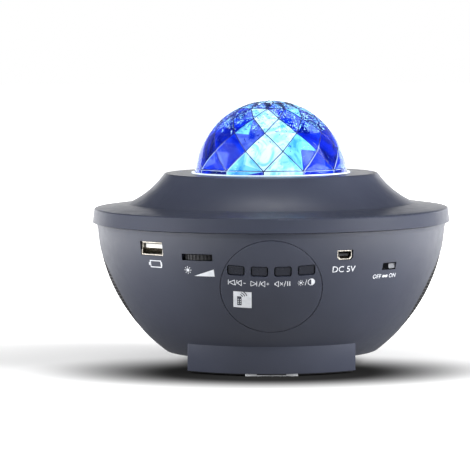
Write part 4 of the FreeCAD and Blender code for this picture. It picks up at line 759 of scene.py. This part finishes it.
def hex_cell(pitch, bar):
    """One six-sided ring of the mesh: its hole is a hexagon, and its rim is half a bar wide."""
    mesh = bmesh.new()
    outer_radius = pitch / math.sqrt(3)
    hole_radius = outer_radius - bar / math.sqrt(3)
    rings = []
    for radius in (outer_radius, hole_radius):
        angles = [math.radians(60 * k + 30) for k in range(6)]
        rings.append([mesh.verts.new((radius * math.cos(a), radius * math.sin(a), 0)) for a in angles])
    for k in range(6):
        mesh.faces.new([rings[0][k], rings[0][(k + 1) % 6], rings[1][(k + 1) % 6], rings[1][k]])
    return mesh_object("mesh_cell", mesh)


def honeycomb_tree():
    tree, start, end = new_tree("honeycomb_sheet", [
        ("Cell", "NodeSocketObject", None), ("Finish", "NodeSocketMaterial", None)])
    cell = add_node(tree, NODES + "ObjectInfo")
    points = add_node(tree, NODES + "MeshToPoints")
    put = add_node(tree, NODES + "InstanceOnPoints")
    join(tree, (start, "Geometry", points, "Mesh"), (points, "Points", put, "Points"),
         (start, "Cell", cell, "Object"), (cell, "Geometry", put, "Instance"))
    return end_tree(tree, start, end, put, "Instances", 0.02 * MM)


HONEYCOMB = honeycomb_tree()
cell_object = hex_cell(MESH_PITCH, MESH_BAR)


def grille(side, name):
    """A bent honeycomb sheet with a plain border, as thick as the real mesh."""
    reach = GRILLE_RADIUS - GRILLE_BORDER / 2
    row_step = MESH_PITCH * math.sqrt(3) / 2
    rows = int(reach / row_step) + 1
    spots = []
    for row in range(-rows, rows + 1):
        shift = MESH_PITCH / 2 if row % 2 else 0
        for column in range(-rows - 2, rows + 3):
            spot = (column * MESH_PITCH + shift, row * row_step)
            if math.hypot(*spot) < reach - MESH_PITCH * 0.3:
                spots.append((*spot, 0))
    data = bpy.data.meshes.new(name)
    data.from_pydata(spots, [], [])
    made = add_object(name, data)
    run_tree(made, HONEYCOMB, {"Cell": cell_object, "Finish": finishes["mesh_black"]})
    mesh = bmesh.new()
    mesh.from_mesh(made.data)
    ring = []
    for radius in (GRILLE_RADIUS - GRILLE_BORDER * 1.6, GRILLE_RADIUS):
        angles = [2 * math.pi * k / BORDER_SIDES for k in range(BORDER_SIDES)]
        ring.append([mesh.verts.new((radius * math.cos(a), radius * math.sin(a), 0)) for a in angles])
    for k in range(BORDER_SIDES):
        after = (k + 1) % BORDER_SIDES
        mesh.faces.new([ring[0][k], ring[1][k], ring[1][after], ring[0][after]])
    faces = list(mesh.faces)
    for face in faces:
        if face.normal.z < 0:
            face.normal_flip()
    grown = bmesh.ops.extrude_face_region(mesh, geom=faces, use_keep_orig=True)
    raised = {item for item in grown["geom"] if isinstance(item, bmesh.types.BMVert)}
    for vert in mesh.verts:
        depth = GRILLE_DEPTH if vert in raised else GRILLE_DEPTH + GRILLE_THICK
        across, up = vert.co.x, vert.co.y
        span = math.hypot(across, up)
        if span > GRILLE_RADIUS:
            across *= GRILLE_RADIUS / span
            up *= GRILLE_RADIUS / span
        vert.co = face_point(SPEAKER_HEIGHT, side, across, up, depth)
    bmesh.ops.recalc_face_normals(mesh, faces=mesh.faces)
    mesh.to_mesh(made.data)
    mesh.free()
    made.data.materials.clear()
    made.data.materials.append(finishes["mesh_black"])
    return made


for side, label in ((-1, "left"), (1, "right")):
    made = grille(side, label + "_grille_mesh")
    hand_over(made, "housing", "grille_mesh", label + "_speaker_grille")
    print(made.name, len(made.data.polygons), "faces")
bpy.data.objects.remove(cell_object)

# %% [markdown]
# ## Buttons
#
# A button is a small rounded cap a little below the panel's face. Its outline is a rounded
# rectangle, and a short list of insets and depths carries that outline round the edge to the
# flat top. Every corner asks the bowl's formula for its depth, so the caps follow the curve. The
# first depth is the cap's back, which stays clear of the switches when a button is pressed.

# %% Button caps
BUTTON_WIDE = 7.2 * MM
BUTTON_HIGH = 4.3 * MM
BUTTON_CORNER = 0.8 * MM
BUTTON_ROW = 8.8 * MM
BUTTON_PITCH = 10.5 * MM
BUTTONS = ("button_previous", "button_next", "button_play", "button_light")
CAP_CREASE = math.radians(50)
CAP_PROFILE = ((0.0, 3.4), (0.0, 0.72), (0.06, 0.56), (0.2, 0.44), (0.45, 0.40), (0.9, 0.43), (1.5, 0.47))


def rounded_outline(wide, high, corner, steps=6):
    """Points of a rounded rectangle, counter-clockwise."""
    points = []
    for quadrant, (sx, sy) in enumerate(((1, 1), (-1, 1), (-1, -1), (1, -1))):
        for step in range(steps + 1):
            angle = math.pi / 2 * (quadrant + step / steps)
            points.append((sx * (wide / 2 - corner) + corner * math.cos(angle),
                           sy * (high / 2 - corner) + corner * math.sin(angle)))
    return points


def button_cap(name, across):
    mesh = bmesh.new()
    rings = []
    for inset, depth in CAP_PROFILE:
        corner = max(BUTTON_CORNER - inset * MM, 0.15 * MM)
        outline = rounded_outline(BUTTON_WIDE - 2 * inset * MM, BUTTON_HIGH - 2 * inset * MM, corner)
        spots = (panel_point(across + x, BUTTON_ROW + y, depth * MM) for x, y in outline)
        rings.append([mesh.verts.new(spot) for spot in spots])
    for ring, after in zip(rings, rings[1:]):
        for k in range(len(ring)):
            step = (k + 1) % len(ring)
            mesh.faces.new([ring[k], ring[step], after[step], after[k]])
    mesh.faces.new(rings[-1])
    mesh.faces.new(rings[0][::-1])
    bmesh.ops.recalc_face_normals(mesh, faces=mesh.faces)
    return mesh_object(name, mesh, "slate_button", CAP_CREASE)


for index, name in enumerate(BUTTONS):
    cap = button_cap(name + "_cap", (index - 1.5) * BUTTON_PITCH)
    hand_over(cap, name, "button_plastic", name)

# %% [markdown]
# ## Printed marks
#
# The marks are screen printed: a few microns of pale ink. Each is drawn flat as simple polygons
# in millimetres, and every corner is then laid on the bowl, with a hair of thickness so that
# it is a real closed piece. Only plain symbols and generic words are printed.

# %% Drawing tools for marks
INK_PROUD = 0.03 * MM
INK_BELOW = 0.05 * MM
INK_STEP = 1.3


def bar(x, y, wide, high):
    return [(x - wide / 2, y - high / 2), (x + wide / 2, y - high / 2), (x + wide / 2, y + high / 2),
            (x - wide / 2, y + high / 2)]


def disc(x, y, radius, count=20):
    return [(x + radius * math.cos(2 * math.pi * k / count), y + radius * math.sin(2 * math.pi * k / count))
            for k in range(count)]


def hoop(x, y, radius, line, start=0, end=360, count=24):
    """An arc of a ring as small four-sided pieces."""
    pieces = []
    for k in range(count):
        a = math.radians(start + (end - start) * k / count)
        b = math.radians(start + (end - start) * (k + 1) / count)
        pieces.append([(x + r * math.cos(t), y + r * math.sin(t))
                       for r, t in ((radius, a), (radius + line, a), (radius + line, b), (radius, b))])
    return pieces


def triangle(x, y, size, way):
    return [(x - way * size / 2, y - size / 2), (x + way * size / 2, y), (x - way * size / 2, y + size / 2)]


def frame_lines(x, y, wide, high, line):
    """A rectangle drawn as four bars."""
    return [bar(x, y + high / 2, wide + line, line), bar(x, y - high / 2, wide + line, line),
            bar(x - wide / 2, y, line, high), bar(x + wide / 2, y, line, high)]


def strip(x0, y0, x1, y1, line):
    """A straight stroke from one point to another."""
    length = math.hypot(x1 - x0, y1 - y0)
    nx, ny = -(y1 - y0) / length * line / 2, (x1 - x0) / length * line / 2
    return [(x0 + nx, y0 + ny), (x0 - nx, y0 - ny), (x1 - nx, y1 - ny), (x1 + nx, y1 + ny)]


def sunburst(x, y, core, near, far, line):
    """A disc with eight rays."""
    pieces = [disc(x, y, core)]
    for k in range(8):
        a = math.radians(45 * k)
        pieces.append(strip(x + near * math.cos(a), y + near * math.sin(a), x + far * math.cos(a),
                            y + far * math.sin(a), line))
    return pieces


def cut_small(polygons):
    """Cuts flat polygons along a fine grid, so that each piece can follow the curve."""
    flat = bmesh.new()
    for polygon in polygons:
        flat.faces.new([flat.verts.new((x, y, 0)) for x, y in polygon])
    low = [min(vert.co[axis] for vert in flat.verts) for axis in (0, 1)]
    high = [max(vert.co[axis] for vert in flat.verts) for axis in (0, 1)]
    for axis, normal in ((0, (1, 0, 0)), (1, (0, 1, 0))):
        for step in range(1, int((high[axis] - low[axis]) / INK_STEP) + 1):
            spot = [0, 0, 0]
            spot[axis] = low[axis] + step * INK_STEP
            geometry = flat.verts[:] + flat.edges[:] + flat.faces[:]
            bmesh.ops.bisect_plane(flat, geom=geometry, plane_co=spot, plane_no=normal, dist=1e-5)
    pieces = [[(vert.co.x, vert.co.y) for vert in face.verts] for face in flat.faces]
    flat.free()
    return pieces


def printed(name, polygons, lay, material="print_white", proud=INK_PROUD):
    """Lays flat polygons, in millimetres, on a surface given by lay(across, up, depth)."""
    mesh = bmesh.new()
    for polygon in cut_small(polygons):
        top = [mesh.verts.new(lay(x * MM, y * MM, -proud)) for x, y in polygon]
        low = [mesh.verts.new(lay(x * MM, y * MM, INK_BELOW)) for x, y in polygon]
        mesh.faces.new(top)
        mesh.faces.new(low[::-1])
        for k in range(len(top)):
            after = (k + 1) % len(top)
            mesh.faces.new([top[after], top[k], low[k], low[after]])
    bmesh.ops.recalc_face_normals(mesh, faces=mesh.faces)
    return hand_over(mesh_object(name, mesh, material), "housing", "housing_plastic")


def letters(name, words, high, place, lay):
    """Generic words as printed strokes, centred at a place of the drawing."""
    curve = bpy.data.curves.new(name, "FONT")
    curve.body = words
    curve.align_x = "CENTER"
    curve.align_y = "CENTER"
    curve.size = high * 1.4
    curve.resolution_u = 3
    writer = add_object(name + "_writer", curve)
    graph = bpy.context.evaluated_depsgraph_get()
    flat = bpy.data.meshes.new_from_object(writer.evaluated_get(graph))
    polygons = [[(flat.vertices[i].co.x + place[0], flat.vertices[i].co.y + place[1]) for i in face.vertices]
                for face in flat.polygons]
    bpy.data.objects.remove(writer)
    bpy.data.meshes.remove(flat)
    return printed(name, polygons, lay)


def laid_at(azimuth, height):
    """A function that lays a drawing's points on the bowl round one place."""
    return lambda across, up, depth: on_surface(azimuth, height, across, up, depth)


# %% Marks beside the sockets
battery = frame_lines(0.3, 0, 6.4, 3.0, 0.42) + [bar(-3.6, 0, 0.7, 1.4), bar(3.9, 0, 0.42, 2.0)]
printed("mark_battery", battery, laid_at(-41.0, 51.7 * MM))

printed("mark_sun", sunburst(0, 0, 0.75, 1.15, 1.75, 0.32), laid_at(-28.1, 49.7 * MM))
printed("mark_wedge", [[(-4.95, -1.6), (4.95, -1.6), (4.95, 1.75)]], laid_at(-22.4, 48.6 * MM))
letters("mark_supply", "DC 5V", 2.9, (0, 0), laid_at(24.2, 49.9 * MM))
letters("mark_off", "OFF", 2.0, (-4.9, 0), laid_at(41.2, 45.7 * MM))
printed("mark_slide", [bar(-0.9, 0, 1.3, 1.1), bar(0.75, 0, 1.3, 1.1)], laid_at(41.2, 45.7 * MM))
letters("mark_on", "ON", 2.0, (4.6, 0), laid_at(41.2, 45.7 * MM))

# %% [markdown]
# ### Marks on the panel
#
# Under the buttons stand plain transport symbols: previous with a minus, next with a plus, mute
# with pause, and sun with half moon. A pale square with a small generic sign and its waves marks
# where the receiver sits behind the panel.

# %% Marks under the buttons
ICON_LEVEL = 3.1
ICON_SCALE = 1.1


def speaker_sign(x, y, way):
    """A small loudspeaker drawn in outline."""
    return [bar(x - way * 0.9, y, 0.5, 0.9), strip(x - way * 0.7, y + 0.4, x + way * 0.5, y + 1.2, 0.26),
            strip(x - way * 0.7, y - 0.4, x + way * 0.5, y - 1.2, 0.26), bar(x + way * 0.5, y, 0.26, 2.5)]


def outline_triangle(x, y, size, way, line=0.26):
    corners = triangle(x, y, size, way)
    return [strip(*corners[k], *corners[(k + 1) % 3], line) for k in range(3)]


def slash(x, y):
    return strip(x - 0.35, y - 1.2, x + 0.35, y + 1.2, 0.24)


y = ICON_LEVEL
columns = [(step - 1.5) * BUTTON_PITCH / MM for step in range(4)]
x = columns[0]
icons = [bar(x - 3.1, y, 0.28, 2.2)] + outline_triangle(x - 1.7, y, 2.2, -1) + [slash(x + 0.1, y)]
icons += speaker_sign(x + 1.7, y, 1) + [bar(x + 3.5, y, 0.9, 0.26)]
x = columns[1]
icons += outline_triangle(x - 2.4, y, 2.2, 1) + [bar(x - 1.1, y, 0.28, 2.2), slash(x + 0.1, y)]
icons += speaker_sign(x + 1.7, y, 1) + [bar(x + 3.4, y, 1.1, 0.26), bar(x + 3.4, y, 0.26, 1.1)]
x = columns[2]
icons += speaker_sign(x - 2.3, y, 1)
icons += [strip(x - 1.1, y - 0.6, x, y + 0.6, 0.26), strip(x - 1.1, y + 0.6, x, y - 0.6, 0.26)]
icons += [slash(x + 0.8, y)]
icons += [bar(x + 1.9, y, 0.36, 2.0), bar(x + 2.8, y, 0.36, 2.0)]
x = columns[3]
icons += sunburst(x - 2.3, y, 0.5, 0.8, 1.25, 0.24)
icons += [slash(x - 0.2, y)] + hoop(x + 2.0, y, 1.2, 0.28)
icons.append([(x + 2.0 + 1.2 * math.cos(math.radians(t)), y + 1.2 * math.sin(math.radians(t)))
              for t in range(-90, 91, 15)])
grown = []
for icon in icons:
    nearest = min(columns, key=lambda column: abs(column - icon[0][0]))
    grown.append([(nearest + (px - nearest) * ICON_SCALE, y + (py - y) * ICON_SCALE) for px, py in icon])
printed("mark_buttons", grown, panel_point)

# %% The square over the receiver
square_x, square_y, side = -12.9, -5.3, 8.2
printed("mark_square", [bar(square_x, square_y, side, side)], panel_point)
DARK_PROUD = 0.05 * MM
KEY_PROUD = 0.07 * MM
sign = [bar(square_x - 1.4, square_y - 0.6, 2.0, 4.6)]
waves = []
for radius in (1.3, 2.3, 3.3):
    waves += hoop(square_x - 1.4, square_y + 1.2, radius, 0.42, 15, 75, 8)
printed("mark_remote", sign + waves, panel_point, "print_dark", DARK_PROUD)
keys = [disc(square_x - 1.4 + dx, square_y - 0.9 + dy, 0.26, 10)
        for dx in (-0.5, 0.5) for dy in (-1.0, 0.0, 1.0)]
printed("mark_remote_keys", keys, panel_point, "print_white", KEY_PROUD)
print("Printed marks are on")

# %% [markdown]
# ## Studio
#
# The camera sees a white floor with the soft shadow, and round the foot a darker pool that is a
# painted shadow in the floor's colour. The object sees the same floor as a card, dim in the middle
# and glowing at its sides, which gives the low gloss on the bowl. Two large lamps stand at the
# sides, and weak ones behind and above. The side lamps are hidden from glossy rays, because at a
# grazing angle they wash the lid to white. The world is white to the camera and nearly black to
# the object, by Light Path.

# %% Floor
FLOOR_HALF = 6.0
# The dark pool round the foot is a painted shadow in the floor's colour: dark inside its core, white beyond
# its edge, squeezed front to back and set in front of the bowl's middle.
PAINTED_SHADOW_CORE = 0.045
PAINTED_SHADOW_EDGE = 0.125
PAINTED_SHADOW_SQUEEZE = 1.6
PAINTED_SHADOW_FORWARD = 0.042
PAINTED_SHADOW_DARK = 0.02
FLOOR_WHITE = 0.95
FLOOR_FAR = 0.5
CARD_NEAR = 0.05
CARD_FAR = 0.45
CARD_MIDDLE = 0.3
CARD_SIDE = 0.95
CARD_GLOW = 1.3


def ramp_of(tree, source, near, far, low, high):
    """A smooth step from one value to another over a distance."""
    step = tree.nodes.new("ShaderNodeMapRange")
    step.interpolation_type = "SMOOTHSTEP"
    for socket, value in (("From Min", near), ("From Max", far), ("To Min", low), ("To Max", high)):
        step.inputs[socket].default_value = value
    tree.links.new(source, step.inputs["Value"])
    return step.outputs["Result"]


def add_shaders(tree, first, second):
    both = add_node(tree, "ShaderNodeAddShader")
    join(tree, (first, 0, both, 0), (second, 0, both, 1))
    return both


def floor():
    """A floor that the camera sees as white with a painted shadow, a dark pool under the bowl,
    and the bowl sees as a card that is bright at its sides."""
    mesh = bpy.data.meshes.new("floor")
    corners = [(x * FLOOR_HALF, y * FLOOR_HALF, 0) for x, y in ((-1, -1), (1, -1), (1, 1), (-1, 1))]
    mesh.from_pydata(corners, [], [(0, 1, 2, 3)])
    made = add_object("floor", mesh)
    material = bpy.data.materials.new("floor_white_painted_shadow")
    material.use_nodes = True
    tree = material.node_tree
    tree.nodes.remove(tree.nodes["Principled BSDF"])
    path = add_node(tree, "ShaderNodeLightPath")
    spot = add_node(tree, "ShaderNodeTexCoord")
    parts = add_node(tree, "ShaderNodeSeparateXYZ")
    shift = add_node(tree, "ShaderNodeVectorMath", {
        1: (1, PAINTED_SHADOW_SQUEEZE, 1), 2: (0, PAINTED_SHADOW_FORWARD * PAINTED_SHADOW_SQUEEZE, 0)}, operation="MULTIPLY_ADD")
    reach = add_node(tree, "ShaderNodeVectorMath", operation="LENGTH")
    side = add_node(tree, "ShaderNodeMath", operation="ABSOLUTE")
    join(tree, (spot, "Object", shift, 0), (shift, "Vector", reach, 0), (spot, "Object", parts, "Vector"),
         (parts, "X", side, 0))
    distance = reach.outputs["Value"]
    aside = side.outputs["Value"]
    seen = add_node(tree, "ShaderNodeBsdfDiffuse")
    glow = add_node(tree, "ShaderNodeEmission")
    felt = add_node(tree, "ShaderNodeBsdfDiffuse")
    shine = add_node(tree, "ShaderNodeEmission")
    # The colour the camera sees carries the painted shadow; beyond its edge a glow makes the floor white.
    for value, socket in (
            (ramp_of(tree, distance, PAINTED_SHADOW_CORE, PAINTED_SHADOW_EDGE, PAINTED_SHADOW_DARK, FLOOR_WHITE), seen.inputs["Color"]),
            (ramp_of(tree, distance, PAINTED_SHADOW_EDGE, FLOOR_FAR, 0.0, 1.0), glow.inputs["Strength"]),
            (ramp_of(tree, aside, CARD_NEAR, CARD_FAR, CARD_MIDDLE, CARD_SIDE), felt.inputs["Color"]),
            (ramp_of(tree, aside, CARD_NEAR, CARD_FAR, 0.0, CARD_GLOW), shine.inputs["Strength"])):
        tree.links.new(value, socket)
    choice = add_node(tree, "ShaderNodeMixShader")
    join(tree, (path, "Is Camera Ray", choice, "Fac"), (add_shaders(tree, felt, shine), 0, choice, 1),
         (add_shaders(tree, seen, glow), 0, choice, 2),
         (choice, 0, tree.nodes["Material Output"], "Surface"))
    mesh.materials.append(material)


floor()


# %% World and lamps
LAMP_SIDE = 1.3
AIM = (0, 0, 0.06)
WORLD_FELT = 0.04


def world():
    made = bpy.data.worlds.new("studio")
    bpy.context.scene.world = made
    made.use_nodes = True
    tree = made.node_tree
    seen = tree.nodes["Background"]
    seen.inputs["Color"].default_value = (1, 1, 1, 1)
    seen.inputs["Strength"].default_value = 1.0
    felt = add_node(tree, "ShaderNodeBackground", {"Color": (0.95, 0.97, 1.0, 1), "Strength": WORLD_FELT})
    path = add_node(tree, "ShaderNodeLightPath")
    either = add_node(tree, "ShaderNodeMath", operation="MAXIMUM")
    mix = add_node(tree, "ShaderNodeMixShader")
    join(tree, (path, "Is Camera Ray", either, 0), (path, "Is Transmission Ray", either, 1),
         (either, "Value", mix, "Fac"), (felt, 0, mix, 1), (seen, 0, mix, 2),
         (mix, 0, tree.nodes["World Output"], "Surface"))


def soft_lamp(name, place, wide, high, power, glossy=True):
    data = bpy.data.lights.new(name, "AREA")
    data.shape = "RECTANGLE"
    data.size = wide
    data.size_y = high
    data.energy = power
    made = bpy.data.objects.new(name, data)
    bpy.context.scene.collection.objects.link(made)
    made.location = place
    made.visible_glossy = glossy
    made.rotation_euler = (Vector(AIM) - Vector(place)).to_track_quat("-Z", "Y").to_euler()


world()
soft_lamp("lamp_left", (-LAMP_SIDE, -0.35, 0.50), 1.15, 1.2, 42, glossy=False)
soft_lamp("lamp_right", (LAMP_SIDE, -0.42, 0.50), 1.15, 1.2, 62, glossy=False)
soft_lamp("lamp_back", (0, 1.6, 0.26), 3.2, 0.40, 9)
soft_lamp("lamp_top", (0, 0.5, 1.5), 0.5, 0.5, 2)
bpy.context.scene.view_settings.view_transform = "Standard"
